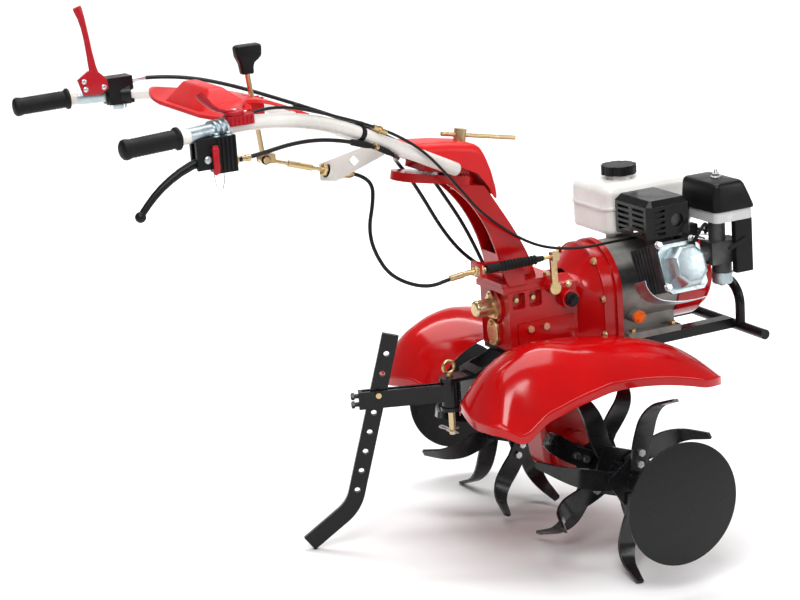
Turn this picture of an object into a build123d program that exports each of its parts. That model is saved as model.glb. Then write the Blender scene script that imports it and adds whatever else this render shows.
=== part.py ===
from build123d import *
import os
from math import cos, radians, sin

# Garden tiller in millimetres. Every piece is drawn in the level machine frame: the rotor axle is the
# origin, X points forward to the engine, Y to the left and Z up. Last of all each piece is stood on the
# ground, nose up, on its tines and its drag stake, with the origin under the middle of the machine.

# Stance
stance_tilt = 4.5
axle_height = 188.64
middle_x = -349.3

# Clearances
run_fit = 0.05
seat_gap = 0.3
free_gap = 1.0

# Rotor
disc_face_y = 475.0
disc_radius = 126.0
disc_thickness = 4.0
disc_dish = 7.0
disc_hub_length = 12.0
disc_hub_radius = 26.0
axle_radius = 14.0
axle_half_length = 132.0
rotor_tube_radius = 20.0
rotor_tube_start_y = 62.0
flange_y = (150.0, 222.0, 294.0)
flange_phase = (152.0, 25.0, -100.0)
flange_half = 50.0
flange_corner = 8.0
flange_thickness = 6.0
tine_count = 4
tine_width = 40.0
tine_tip_width = 30.0
tine_thickness = 6.0
tine_root_radius = 24.0
tine_tip_radius = 188.0
tine_bend_radius = 58.0
tine_bend_angle = 68.0
tine_blade_length = 44.0
tine_sweep = 35.0
tine_sweep_start = 70.0
tine_sweep_middle = 130.0
tine_sweep_bow = 9.0
tine_bolt_radii = (38.0, 62.0)
tine_bolt_head = 8.0
tine_bolt_height = 6.0

# Gearbox and final drive
crank_z = 335.0
gearbox_rear_x = -140.0
gearbox_half_width = 60.0
gearbox_top_z = 384.0
gearbox_bottom_z = 246.0
gearbox_front_x = 22.0
gearbox_wall = 8.0
gearbox_crown = 12.0
bell_rear_x = 64.0
bell_front_x = 108.0
bell_radius = 98.0
bell_bottom_z = 236.0
bell_flange_width = 14.0
bell_flange_proud = 6.0
bell_rib_width = 6.0
bell_rib_proud = 4.0
pocket_x = (-116.0, -76.0)
pocket_z = 352.0
pocket_length = 30.0
pocket_height = 34.0
pocket_corner = 6.0
pocket_depth = 14.0
selector_x = -40.0
selector_z = 371.0
selector_boss_radius = 12.5
selector_shaft_radius = 7.0
filler_x = 0.0
filler_z = 339.0
filler_boss_radius = 20.0
side_boss_y = 76.0
side_hole_depth = 30.0
rear_pad_height = 5.0
rear_pad_margin = 2.0
case_half_width = 40.0
case_bottom_radius = 62.0
case_top_x = (-80.0, 22.0)
case_round = 12.0
case_boss_radius = 46.0
case_boss_y = 58.0
case_boss_chamfer = 4.0
pto_cap_radius = 18.0
pto_cap_length = 45.0
pto_cap_round = 6.0
pto_cap_wall = 4.0
pto_flange_radius = 34.0
pto_flange_thickness = 7.0
pto_hub_radius = 24.0
pto_bolt_radius = 25.0
pto_bolt_count = 3
pto_ear_radius = 9.0
oval_cover_z = 280.0
oval_cover_half_height = 29.0
oval_cover_half_width = 22.0
oval_cover_thickness = 6.0
oval_cover_round = 2.0
oval_bolt_spacing = 40.0
small_bolt_head = 5.5
small_bolt_height = 5.0
plug_head_radius = 15.0
plug_head_height = 6.0
plug_grip_width = 7.0
plug_grip_height = 8.0
plug_grip_turn = 35.0
plug_shank_radius = 9.0
plug_shank_length = 22.0

# Drive inside the gearbox
clutch_radius = 50.0
clutch_rear_x = 34.0
clutch_front_x = 100.0
tunnel_rear_x = -40.0
main_shaft_radius = 10.0
main_shaft_rear_x = -180.0
pinion_rear_x = -24.0
pinion_front_x = 16.0
pinion_small_radius = 20.0
pinion_large_radius = 32.0
final_gear_radius = 38.0
final_gear_width = 26.0
final_gear_teeth = 24
gear_tooth_depth = 5.0
gear_tooth_width = 5.0
fork_x = -15.0
fork_z = 330.0
fork_shaft_radius = 7.0

# Column and swivel head, which leans forward by head_tilt about the pivot point
head_tilt = 11.0
pivot_x = -212.0
pivot_z = 628.0
column_half_width = 35.0
column_wall = 5.0
column_flange_thickness = 9.0
column_flange_x = (-150.0, -25.0)
column_flange_half_width = 58.0
column_flange_corner = 8.0
column_front = ((-58.0, 393.0), (-94.0, 482.0), (-156.0, 585.0), (-172.0, 612.0))
column_rear = ((-136.0, 393.0), (-155.0, 480.0), (-205.0, 572.0), (-276.0, 632.0))
column_closed_height = 60.0
column_bolt_x = (-128.0, -40.0)
column_bolt_y = 47.0
frame_bolt_head = 8.0
frame_bolt_height = 7.0
stay_x = -205.0
stay_thickness = 4.0
stay_y = (-110.0, -40.0)
stay_top_z = 462.0
stay_foot_x = -112.0
stay_foot_y = (-57.0, -41.0)
base_thickness = 18.0
base_pivot_radius = 38.0
base_end_radius = 37.0
base_end_u = -108.0
plate_gap = 6.0
plate_thickness = 18.0
plate_front_radius = 38.0
plate_rear_u = -96.0
plate_rear_half_width = 42.0
hub_radius = 20.0
tooth_ring_radii = (27.0, 38.0)
tooth_height = 2.6
tooth_count = 30
tooth_arc = 5.0
bolt_shank_radius = 8.0
bolt_shank_w = -32.0
hood_half_width = 50.0
hood_wall = 3.0
hood_top = ((-131.0, 50.0), (-129.0, 60.0), (-49.0, 67.0), (16.0, 67.0))
hood_front = ((58.0, 36.0), (92.0, -36.0))
hood_lower = ((63.0, -39.0), (12.0, 13.0), (-10.0, 17.0))
hood_corner = 26.0
hood_lip = 8.0
hood_bolt_w = 67.0
hood_round = 12.0
handle_block_radius = 13.0
handle_block_height = 25.0
handle_bar_radius = 4.5
handle_bar_length = 172.0
handle_bar_offset = 43.0

# Fenders
fender_outer_y = 290.0
fender_sheet = 3.0
fender_lip = 14.0
fender_outer = ((-291.0, 153.0), (-196.0, 181.0), (-64.0, 214.0), (41.0, 208.0), (213.0, 178.0))
fender_inner = ((-269.0, 157.0), (-204.0, 220.0), (-147.0, 247.0), (-39.0, 259.0), (251.0, 185.0))
fender_notch_x = 20.0
fender_notch_y = 106.0
fender_tab_x = (-120.0, 10.0)
fender_tab_height = 50.0
fender_bolt_x = (-95.0, -58.0)
fender_bolt_z = 290.0

# Front frame
rail_x = (74.0, 392.0)
rail_y = (62.0, 92.0)
rail_z = (207.0, 229.0)
bell_plate_x = 106.0
bar_x = 402.0
bar_z = 212.0
bar_radius = 11.0
bar_half_length = 195.0
hoop_half_width = 105.0
hoop_top_z = 310.0
hoop_corner = 50.0
hoop_radius = 10.5

# Hitch and drag bar
hitch_pin_x = -258.0
hitch_plate_half_width = 22.0
hitch_plate_z = (132.0, 196.0)
hitch_plate_thickness = 8.0
hitch_block_x = (-215.0, -195.0)
hitch_block_half_width = 35.0
hitch_block_z = (125.0, 210.0)
hitch_side_thickness = 6.0
hitch_mount_x = (-140.0, -80.0)
hitch_mount_half_width = 56.0
hitch_mount_thickness = 10.0
hitch_bolt_y = 46.0
pin_radius = 7.0
pin_bottom_z = 79.0
pin_top_z = 212.0
pin_ring_radius = 13.0
pin_ring_wire = 3.5
clip_z = 90.0
clip_wire = 2.0
drag_swing = 22.0
carrier_head_radius = 18.0
strap_s = (10.0, 192.0)
strap_z = (153.0, 190.0)
strap_thickness = 6.0
strap_end = 8.0
clamp_bolt_z = (180.0, 162.0)
clamp_bolt_radius = 5.0
clamp_bolt_length = 16.0
stake_thickness = 12.0
stake_width = 35.0
stake_path = ((116.0, 307.0), (219.0, -58.0), (318.0, -132.31))
stake_bend = 90.0
stake_hole_radius = 6.0
stake_hole_start = 42.0
stake_hole_pitch = 43.0
stake_hole_count = 8
stake_pin_hole = 2
stake_pin_half_length = 26.0
stake_pin_head = 10.0
stake_pin_head_height = 5.0

# Handlebar tubes, grips and console
arm_points = ((-237.0, 48.0, 648.0), (-641.0, 200.0, 845.0), (-905.0, 296.0, 846.0), (-1024.0, 307.0, 842.0))
arm_bends = (850.0, 45.0)
arm_radius = 14.0
arm_wall = 2.5
grip_length = 110.0
grip_radius = 17.0
grip_end = 5.0
grip_flange_radius = 21.0
grip_flange_length = 6.0
console_sheet = 3.0
console_line = ((-812.0, 846.0), (-748.0, 886.0), (-640.0, 838.0), (-545.0, 806.0))
console_plan = ((-815.0, 0.0), (-815.0, 243.0), (-768.0, 243.0), (-690.0, 95.0), (-545.0, 46.0), (-545.0, 24.0))
console_slot_x = -666.0
console_slot_half = 9.0
ear_gap = 8.3
ear_thickness = 4.0
ear_half_length = 16.0
ear_z = (788.0, 836.0)

# Shift lever, link, bracket, selector arm
shift_pivot_x = -640.0
shift_pivot_z = 800.0
shift_low = (-632.0, 722.0)
shift_high = (-651.0, 896.0)
shift_rod_radius = 5.0
shift_hub_radius = 10.0
shift_pin_radius = 4.0
knob_stem = (11.0, 8.0, 26.0)
knob_head = (25.0, 12.0, 26.0)
knob_round = 5.0
eye_radius = 9.0
eye_half_width = 6.5
fork_cheek = 4.0
link_end = (-468.0, 669.0)
link_radius = 4.0
sleeve_at = 0.89
sleeve_radius = 13.0
sleeve_bore = 9.0
sleeve_length = 26.0
bracket_thickness = 4.0
bracket_turn = -52.7
bracket_outline = ((-16.0, 658.0), (20.0, 658.0), (128.0, 712.0), (128.0, 740.0), (84.0, 728.0), (-16.0, 692.0))
bracket_hole_at = (62.0, 700.0)
bracket_hole = 16.0
shift_end_y = -87.0
shift_end_z = 441.0
adjuster_radius = 6.0
adjuster_x = (-236.0, -198.0)
selector_arm_width = 14.0
selector_arm_y = (-84.0, -77.0)
selector_hub_radius = 13.0
selector_block_half = 8.0
selector_block_x = -42.0
selector_rod_radius = 4.0
selector_rod_end_x = -84.0

# Clutch lever and lock
clutch_pivot = (-866.0, 800.0)
clutch_y = -287.0
clutch_hub_radius = 12.0
clutch_pin_radius = 4.0
clutch_ear_y = (-304.0, -296.0)
clutch_inner_y = (-278.0, -270.0)
clutch_ear_x = (-886.0, -850.0)
clutch_body_x = (-850.0, -809.0)
clutch_body_z = (772.0, 838.0)
clutch_ear_z = (782.0, 838.0)
clutch_arc = ((-872.0, 797.0), (-946.0, 764.0), (-997.0, 714.0))
clutch_lever_width = 15.0
clutch_lever_thickness = 12.0
clutch_ball_radius = 10.0
clutch_barrel_radius = 5.0
clutch_barrel_length = 16.0
clutch_barrel_z = 788.0
lock_x = -853.0
lock_z = (772.0, 824.0)
lock_pivot_z = 816.0
lock_width = 12.0
lock_thickness = 4.0
lock_pin_radius = 3.0
lock_pin_length = 6.0
band_radius = 18.0
band_length = 18.0

# Throttle
throttle_x = -792.0
throttle_y = -262.0
throttle_body_x = (-812.0, -756.0)
throttle_body_y = (-280.0, -244.0)
throttle_body_z = (848.0, 866.0)
throttle_hub_radius = 19.0
throttle_hub_height = 8.0
throttle_pin_radius = 5.0
throttle_pin_length = 5.0
throttle_arm = ((-792.0, 872.0), (-825.0, 880.0), (-855.0, 910.0))
throttle_arm_thickness = 6.0
throttle_arm_width = 18.0

# Reverse lever
reverse_body_x = (-848.0, -796.0)
reverse_body_y = (246.0, 286.0)
reverse_body_z = (828.0, 882.0)
reverse_ear_x = -874.0
reverse_ear_thickness = 10.0
reverse_ear_z = (854.0, 882.0)
reverse_pivot = (-860.0, 868.0)
reverse_pin_radius = 4.0
reverse_lever_thickness = 9.0
reverse_plate = ((-890.0, 874.0), (-868.0, 902.0), (-838.0, 908.0), (-832.0, 880.0), (-852.0, 850.0), (-878.0, 850.0))
reverse_line = ((-855.0, 890.0), (-866.0, 950.0), (-886.0, 1026.0))
reverse_line_width = 18.0

# Clutch fork lever on the left of the gearbox
fork_end = (-62.0, 372.0)
fork_arm_y = (68.0, 75.0)
fork_arm_width = 14.0
fork_hub_radius = 13.0

# Cables
cable_radius = 4.0
shift_cable_points = ((-462.0, 0.0, 667.0), (-434.0, -5.0, 661.0), (-406.0, -12.0, 640.0), (-412.0, -20.0, 600.0),
                      (-432.0, -30.0, 525.0), (-404.0, -50.0, 459.0), (-330.0, -75.0, 424.0),
                      (-262.0, -87.0, 441.0), (-230.0, -87.0, 441.0))
shift_cable_bends = (20.0, 18.0, 60.0, 60.0, 60.0, 60.0, 45.0)
clutch_cable_points = ((-792.0, -283.0, 788.0), (-760.0, -276.0, 789.0), (-660.0, -234.0, 793.0),
                       (-560.0, -182.0, 776.0), (-455.0, -147.0, 740.0), (-392.0, -116.0, 702.0),
                       (-350.0, 0.0, 683.0), (-318.0, 52.0, 660.0), (-280.0, 58.0, 612.0),
                       (-200.0, 72.0, 470.0), (-120.0, 80.0, 395.0), (-68.0, 82.0, 372.0))
clutch_cable_bends = (60.0, 60.0, 60.0, 60.0, 40.0, 40.0, 30.0, 40.0, 60.0, 60.0)
throttle_cable_radius = 3.0
throttle_cable_points = ((-755.0, -252.0, 862.0), (-720.0, -238.0, 866.0), (-640.0, -205.0, 850.0),
                         (-500.0, -152.0, 796.0), (-400.0, -121.0, 753.0), (-330.0, -108.0, 708.0),
                         (-252.0, -72.0, 632.0), (-190.0, -52.0, 556.0), (-112.0, -50.0, 488.0),
                         (-50.0, -62.0, 458.0), (40.0, -64.0, 444.0), (110.0, -62.0, 440.0),
                         (280.0, -62.0, 440.0), (326.0, -100.0, 440.0), (340.0, -120.0, 426.0))
throttle_cable_bends = (40.0, 80.0, 80.0, 80.0, 80.0, 80.0, 80.0, 80.0, 60.0, 80.0, 80.0, 30.0, 12.0)
reverse_cable_points = ((-794.0, 262.0, 872.0), (-740.0, 247.0, 874.0), (-640.0, 208.0, 856.0),
                        (-500.0, 154.0, 798.0), (-360.0, 104.0, 734.0), (-270.0, 82.0, 680.0),
                        (-215.0, 78.0, 590.0), (-150.0, 74.0, 480.0), (-118.0, 68.0, 392.0))
reverse_cable_bends = (60.0, 80.0, 80.0, 80.0, 60.0, 60.0, 60.0)
bellows_ribs = 12
bellows_radii = (7.5, 11.0)

# Engine
case_radius = 95.0
case_x = (108.0, 255.0)
base_x = (125.0, 255.0)
base_half_width = 96.0
base_z = (229.0, 243.0)
base_web_half_width = 70.0
engine_bolt_x = (140.0, 240.0)
engine_bolt_y = 84.0
cylinder_x = 200.0
cylinder_tilt = 20.0
cylinder_width = 76.0
cylinder_height = 82.0
fin_width = 93.0
fin_height = 100.0
fin_thickness = 4.0
fin_first = 78.0
fin_pitch = 13.0
fin_count = 7
head_s = (168.0, 190.0)
port_size = 44.0
port_y = -112.0
port_top_z = 446.0
tank_post_x = (165.0, 205.0)
tank_post_y = (6.0, 46.0)
tank_post_bottom_z = 400.0
crank_radius = 12.5
crank_web_radius = 50.0
crank_webs = ((152.0, 170.0), (190.0, 208.0))
crank_room_x = (148.0, 212.0)
crank_rear_x = 101.0
crank_front_x = 316.0
flywheel_radius = 84.0
flywheel_x = (266.0, 308.0)
cover_width = 84.0
cover_height = 90.0
cover_flange = 6.0
cover_depth = 26.0
cover_taper = 8.0
cover_round = 6.0
cover_bolt_spread = (41.0, 44.5)
muffler_x = (156.0, 248.0)
muffler_y = (-146.0, -24.0)
muffler_z = (458.0, 524.0)
muffler_round = 12.0
exhaust_radius = 15.0
guard_gap = 6.0
guard_sheet = 2.0
guard_corner = 10.0
guard_chamfer = 12.0
guard_slot_length = 44.0
guard_slot_width = 6.0
guard_slot_pitch = 12.0
guard_slot_rows = 5
guard_side_slot_length = 26.0
guard_side_slot_x = 28.0
guard_hole_x = 38.0
guard_hole_radius = 15.0
post_radius = 4.0
tank_x = (140.0, 365.0)
tank_y = (-8.0, 150.0)
tank_z = (436.0, 545.0)
tank_round = 24.0
tank_wall = 3.0
tank_seam_z = 492.0
tank_seam_proud = 4.0
tank_seam_height = 5.0
tank_neck_x = 214.0
tank_neck_y = 60.0
neck_radius = 29.0
neck_height = 8.0
neck_bore = 24.0
cap_radius = 38.0
cap_height = 20.0
cap_lobes = 8
cap_lobe_radius = 7.0
cap_lobe_depth = 3.0
cap_shank_length = 18.0
cleaner_x = (282.0, 384.0)
cleaner_y = (-200.0, -65.0)
cleaner_z = (472.0, 495.0, 556.0)
cleaner_inset = 4.0
cleaner_round = 16.0
wing_x = 333.0
wing_y = -132.0
wing_stud_radius = 4.0
wing_hub_radius = 7.0
wing_hub_height = 8.0
wing_span = 34.0
wing_height = 14.0
wing_thickness = 4.0
carb_x = (290.0, 350.0)
carb_y = (-172.0, -128.0)
carb_z = (378.0, 426.0)
intake_radius = 16.0
intake_z = 400.0
riser_x = 318.0
riser_radius = 18.0
bowl_x = 328.0
bowl_radius = 21.0
bowl_bottom_z = 330.0
bowl_round = 6.0
control_x = (335.0, 378.0)
control_y = (-196.0, -176.0)
control_bottom_z = 359.0
control_round = 5.0
choke_x = 356.0
choke_z = 430.0
choke_pin_radius = 4.0
choke_length = 40.0
choke_width = 9.0
choke_thickness = 3.0
choke_turn = 200.0
dipstick_x = 149.0
dipstick_z = 278.0
dipstick_boss_radius = 15.0
dipstick_seat_y = -96.0
dipstick_head_radius = 14.0
dipstick_head_height = 7.0
dipstick_grip_width = 7.0
dipstick_grip_height = 10.0
dipstick_shank_radius = 8.0
dipstick_shank_length = 24.0
shroud_radius = 98.0
shroud_front_x = 322.0
shroud_wall = 3.0
recoil_radius = 86.0
recoil_front_x = 350.0
recoil_round = 10.0
recoil_slots = 12
recoil_slot_radius = 60.0
recoil_slot_length = 26.0
recoil_slot_width = 7.0
grip_y = 0.0
grip_z = 392.0
grip_half_length = 38.0
grip_depth = 18.0
grip_height = 22.0
grip_round = 6.0
rope_radius = 2.5
rope_length = 20.0


ground = Pos(-middle_x, 0, axle_height) * Rot(0, -stance_tilt, 0)
os.makedirs("parts", exist_ok=True)


def write(piece, name):
    """Label a finished piece, stand it on the ground and write its file."""
    piece.part.label = name
    export_step(ground * piece.part, f"parts/{name}.step")


def middle(pair):
    """Middle of a pair of places."""
    return (pair[0] + pair[1]) / 2


def hex_heads(planes, radius, height):
    """Hexagon heads standing on the given planes, in the part being built."""
    for plane in planes:
        with BuildSketch(plane) as face:
            RegularPolygon(radius, 6)
        extrude(face.sketch, amount=height)


# Rotor: axle, two welded frames, tines, bolts and side discs
with BuildPart() as axle_shaft:
    with BuildSketch(Plane.XZ):
        Circle(axle_radius)
    extrude(amount=axle_half_length, both=True)
    # Final drive gear in the middle of the axle
    with BuildSketch(Plane.XZ):
        Circle(final_gear_radius - gear_tooth_depth)
        with PolarLocations(final_gear_radius - gear_tooth_depth / 2, final_gear_teeth):
            Rectangle(gear_tooth_depth + free_gap, gear_tooth_width)
    extrude(amount=final_gear_width / 2, both=True)
write(axle_shaft, "axle_shaft")

disc_back_y = disc_face_y - disc_thickness - disc_hub_length


def tine_turns(flange):
    """Angles of the tines on one flange, with the side of the flange that each is bolted to."""
    step = 360 / tine_count
    return [(flange_phase[flange] + step * k, 1 if k % 2 == 0 else -1) for k in range(tine_count)]


def rotor_frame(side):
    """Tube with three square flanges, on the left (side 1) or the right (side -1)."""
    with BuildPart() as frame:
        with BuildSketch(Plane.XZ.offset(-side * rotor_tube_start_y)) as ring:
            Circle(rotor_tube_radius)
            Circle(axle_radius + run_fit, mode=Mode.SUBTRACT)
        extrude(ring.sketch, amount=-side * (disc_back_y - rotor_tube_start_y))
        for y, phase in zip(flange_y, flange_phase):
            with BuildSketch(Plane.XZ.offset(-side * y)) as plate:
                with Locations(Rot(0, 0, phase + 45)):
                    RectangleRounded(2 * flange_half, 2 * flange_half, flange_corner)
                Circle(axle_radius + run_fit, mode=Mode.SUBTRACT)
            extrude(plate.sketch, amount=flange_thickness / 2, both=True)
    return frame


tine_bend_start = (tine_tip_radius - tine_bend_radius * sin(radians(tine_bend_angle))
                   - tine_blade_length * cos(radians(tine_bend_angle)))
tine_reach = (tine_bend_radius * (1 - cos(radians(tine_bend_angle)))
              + tine_blade_length * sin(radians(tine_bend_angle)))

# One tine in its own frame: X out from the axle, Y away from the flange, Z along the sweep
with BuildPart() as tine:
    with BuildSketch() as band:
        with BuildLine() as spine:
            shank = Line((tine_root_radius, tine_thickness / 2), (tine_bend_start, tine_thickness / 2))
            bend = JernArc(shank @ 1, shank % 1, tine_bend_radius, tine_bend_angle)
            Line(bend @ 1, bend @ 1 + (bend % 1) * tine_blade_length)
        trace(line_width=tine_thickness)
    extrude(amount=tine_width + tine_sweep, both=True)
    with BuildSketch(Plane.XZ) as outline:
        with BuildLine():
            half = tine_width / 2
            lead = Line((tine_root_radius, half), (tine_sweep_start, half))
            lead_edge = ThreePointArc(lead @ 1, (tine_sweep_middle, half - tine_sweep_bow),
                                      (tine_tip_radius + tine_thickness, half - tine_sweep))
            tip = Line(lead_edge @ 1, (tine_tip_radius + tine_thickness, tine_tip_width - half - tine_sweep))
            back_edge = ThreePointArc(tip @ 1, (tine_sweep_middle, -half - tine_sweep_bow),
                                      (tine_sweep_start, -half))
            Polyline(back_edge @ 1, (tine_root_radius, -half), lead @ 0)
        make_face()
    extrude(amount=-(tine_reach + 2 * tine_thickness), both=True, mode=Mode.INTERSECT)


def tine_planes(side):
    """Frame of each tine on one side, with its hand."""
    frames = []
    for flange, y in enumerate(flange_y):
        for angle, hand in tine_turns(flange):
            lateral = side * hand
            out = Vector(cos(radians(angle)), 0, sin(radians(angle)))
            origin = (0, side * (y + hand * flange_thickness / 2), 0)
            frames.append((Plane(origin, x_dir=out, z_dir=out.cross(Vector(0, lateral, 0))), lateral))
    return frames


def tine_set(side):
    """All the tines of one side, each a separate solid."""
    mirrored = mirror(tine.part, about=Plane.XY)
    with BuildPart() as tines:
        for frame, lateral in tine_planes(side):
            with Locations(frame.location):
                add(tine.part if lateral > 0 else mirrored)
    return tines


def tine_bolt_set(side):
    """Two hexagon heads on each tine of one side."""
    with BuildPart() as bolts:
        for frame, lateral in tine_planes(side):
            seats = [Plane(frame.from_local_coords((r, tine_thickness, 0)), z_dir=frame.y_dir)
                     for r in tine_bolt_radii]
            hex_heads(seats, tine_bolt_head, tine_bolt_height)
    return bolts


def side_disc(side):
    """Dished disc with a short hub that sits on the end of the rotor tube."""
    with BuildPart() as disc:
        with BuildSketch(Plane.XY):
            with BuildLine():
                face = ThreePointArc((0, disc_face_y), (disc_radius / 2, disc_face_y - disc_dish / 4),
                                     (disc_radius, disc_face_y - disc_dish))
                rim = Line(face @ 1, face @ 1 - Vector(0, disc_thickness))
                back = ThreePointArc(rim @ 1,
                                     (disc_radius / 2, disc_face_y - disc_thickness - disc_dish / 4),
                                     (disc_hub_radius, disc_face_y - disc_thickness))
                Polyline(back @ 1, (disc_hub_radius, disc_back_y), (0, disc_back_y), face @ 0)
            make_face()
        revolve(axis=Axis.Y)
        if side < 0:
            mirror(about=Plane.XZ, mode=Mode.REPLACE)
    return disc


def both_sides(maker):
    """The left and the right solid of one kind of piece, in one part."""
    with BuildPart() as pair:
        for side in (1, -1):
            add(maker(side).part)
    return pair


for side, side_name in ((1, "left"), (-1, "right")):
    write(tine_set(side), f"tines_{side_name}")
write(both_sides(rotor_frame), "rotor_frames")
write(both_sides(tine_bolt_set), "tine_bolts")
write(both_sides(side_disc), "side_discs")


# Gearbox with its bell, and the final drive case that hangs from it
def arch(plane, half_width, bottom_z, spring_z, top_z):
    """Face with a flat foot, upright sides and a round top, on a plane across the machine."""
    with BuildSketch(plane) as outline:
        with BuildLine():
            foot = Polyline((-half_width, spring_z), (-half_width, bottom_z),
                            (half_width, bottom_z), (half_width, spring_z))
            ThreePointArc(foot @ 1, (0, top_z), foot @ 0)
        make_face()
    return outline.sketch


def across(x):
    """Plane square to the machine's length, with local X along Y and local Y along Z."""
    return Plane((x, 0, 0), x_dir=(0, 1, 0), z_dir=(1, 0, 0))


bell_top_z = crank_z + bell_radius
shaft_tunnel_radius = clutch_radius + free_gap

with BuildPart() as gearbox_housing:
    box_face = arch(across(gearbox_rear_x), gearbox_half_width, gearbox_bottom_z,
                    gearbox_top_z - gearbox_crown, gearbox_top_z)
    extrude(box_face, amount=gearbox_front_x - gearbox_rear_x)
    bell_face = arch(across(bell_rear_x), bell_radius, bell_bottom_z, crank_z, bell_top_z)
    extrude(bell_face, amount=bell_front_x - bell_rear_x)
    loft([arch(across(gearbox_front_x), gearbox_half_width, gearbox_bottom_z,
               gearbox_top_z - gearbox_crown, gearbox_top_z), bell_face], ruled=True)
    flange_face = arch(across(bell_front_x), bell_radius + bell_flange_proud, bell_bottom_z,
                       crank_z, bell_top_z + bell_flange_proud)
    extrude(flange_face, amount=-bell_flange_width)
    # Flat seat for the column
    with BuildSketch(Plane.XY.offset(gearbox_top_z)):
        with Locations(((column_flange_x[0] + column_flange_x[1]) / 2, 0)):
            Rectangle(column_flange_x[1] - column_flange_x[0], 2 * column_flange_half_width)
    extrude(amount=-gearbox_crown)
    # Stiffening rib round the bell
    rib_face = arch(across(bell_rear_x), bell_radius + bell_rib_proud, bell_bottom_z,
                    crank_z, bell_top_z + bell_rib_proud)
    extrude(rib_face, amount=bell_rib_width)
    # Bolt pockets along the upper edge of both sides
    with BuildSketch(Plane.XZ):
        with Locations(*[(x, pocket_z) for x in pocket_x]):
            RectangleRounded(pocket_length, pocket_height, pocket_corner)
    pocket_floor = gearbox_half_width - pocket_depth
    extrude(amount=2 * gearbox_half_width, both=True, mode=Mode.SUBTRACT)
    with BuildSketch(Plane.XZ):
        with Locations(*[(x, pocket_z) for x in pocket_x]):
            Rectangle(pocket_length + free_gap, pocket_height + free_gap)
    extrude(amount=pocket_floor, both=True)
    # Raised pads: selector shaft, filler plug, rear covers
    for x, z, radius in ((selector_x, selector_z, selector_boss_radius),
                         (filler_x, filler_z, filler_boss_radius)):
        with BuildSketch(Plane.XZ.offset(gearbox_half_width - gearbox_wall)):
            with Locations((x, z)):
                Circle(radius)
        extrude(amount=side_boss_y - gearbox_half_width + gearbox_wall)
    with BuildSketch(across(gearbox_rear_x)):
        with Locations((0, crank_z)):
            Circle(pto_flange_radius + rear_pad_margin)
        with Locations((0, oval_cover_z)):
            Ellipse(oval_cover_half_width + rear_pad_margin, oval_cover_half_height + rear_pad_margin)
    extrude(amount=-rear_pad_height)
    # Tunnel for the main shaft and the clutch, open to the engine
    with BuildSketch(across(tunnel_rear_x)):
        with Locations((0, crank_z)):
            Circle(shaft_tunnel_radius)
    extrude(amount=bell_front_x - tunnel_rear_x, mode=Mode.SUBTRACT)
    with BuildSketch(across(gearbox_rear_x - rear_pad_height)):
        with Locations((0, crank_z)):
            Circle(main_shaft_radius + run_fit)
    extrude(amount=tunnel_rear_x - gearbox_rear_x + rear_pad_height, mode=Mode.SUBTRACT)
    # Bore for the selector shaft and threaded hole for the filler plug
    for x, z, radius in ((selector_x, selector_z, selector_shaft_radius),
                         (filler_x, filler_z, plug_shank_radius)):
        with BuildSketch(Plane.XZ.offset(side_boss_y)):
            with Locations((x, z)):
                Circle(radius + run_fit)
        extrude(amount=-side_hole_depth, mode=Mode.SUBTRACT)
    # Bore for the clutch fork shaft on the far side
    with BuildSketch(Plane.XZ.offset(-gearbox_half_width)):
        with Locations((fork_x, fork_z)):
            Circle(fork_shaft_radius + run_fit)
    extrude(amount=side_hole_depth, mode=Mode.SUBTRACT)
write(gearbox_housing, "gearbox_housing")

rear_seat_x = gearbox_rear_x - rear_pad_height

with BuildPart() as pto_cap:
    with BuildSketch(across(rear_seat_x)):
        with Locations((0, crank_z)):
            Circle(pto_hub_radius)
            with PolarLocations(pto_bolt_radius, pto_bolt_count, start_angle=90):
                Circle(pto_ear_radius)
        make_hull()
    extrude(amount=-pto_flange_thickness)
    with BuildSketch(across(rear_seat_x - pto_flange_thickness)):
        with Locations((0, crank_z)):
            Circle(pto_cap_radius)
    extrude(amount=-(pto_cap_length - pto_flange_thickness))
    fillet(pto_cap.faces().sort_by(Axis.X)[0].edges(), pto_cap_round)
    with BuildSketch(across(rear_seat_x)):
        with Locations((0, crank_z)):
            Circle(pto_cap_radius - pto_cap_wall)
    extrude(amount=-(pto_cap_length - pto_cap_wall), mode=Mode.SUBTRACT)
write(pto_cap, "pto_cap")

with BuildPart() as oval_cover:
    with BuildSketch(across(rear_seat_x)):
        with Locations((0, oval_cover_z)):
            Ellipse(oval_cover_half_width, oval_cover_half_height)
    extrude(amount=-oval_cover_thickness)
    fillet(oval_cover.faces().sort_by(Axis.X)[0].edges(), oval_cover_round)
write(oval_cover, "oval_cover")

pto_bolt_seats = [Plane((rear_seat_x - pto_flange_thickness, pto_bolt_radius * cos(radians(turn)),
                         crank_z + pto_bolt_radius * sin(radians(turn))), z_dir=(-1, 0, 0))
                  for turn in (90, 210, 330)]
oval_bolt_seats = [Plane((rear_seat_x - oval_cover_thickness, 0, oval_cover_z + rise), z_dir=(-1, 0, 0))
                   for rise in (-oval_bolt_spacing / 2, oval_bolt_spacing / 2)]
pocket_bolt_seats = [Plane((x, hand * pocket_floor, pocket_z), z_dir=(0, hand, 0))
                     for x in pocket_x for hand in (-1, 1)]

with BuildPart() as filler_plug:
    with BuildSketch(Plane.XZ.offset(side_boss_y + seat_gap)):
        with Locations((filler_x, filler_z)):
            Circle(plug_head_radius)
    extrude(amount=plug_head_height)
    with BuildSketch(Plane.XZ.offset(side_boss_y + seat_gap + plug_head_height)):
        with Locations((filler_x, filler_z)):
            SlotOverall(2 * plug_head_radius - plug_grip_width, plug_grip_width, rotation=plug_grip_turn)
    extrude(amount=plug_grip_height)
    with BuildSketch(Plane.XZ.offset(side_boss_y + seat_gap)):
        with Locations((filler_x, filler_z)):
            Circle(plug_shank_radius)
    extrude(amount=-plug_shank_length)
write(filler_plug, "filler_plug")

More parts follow.
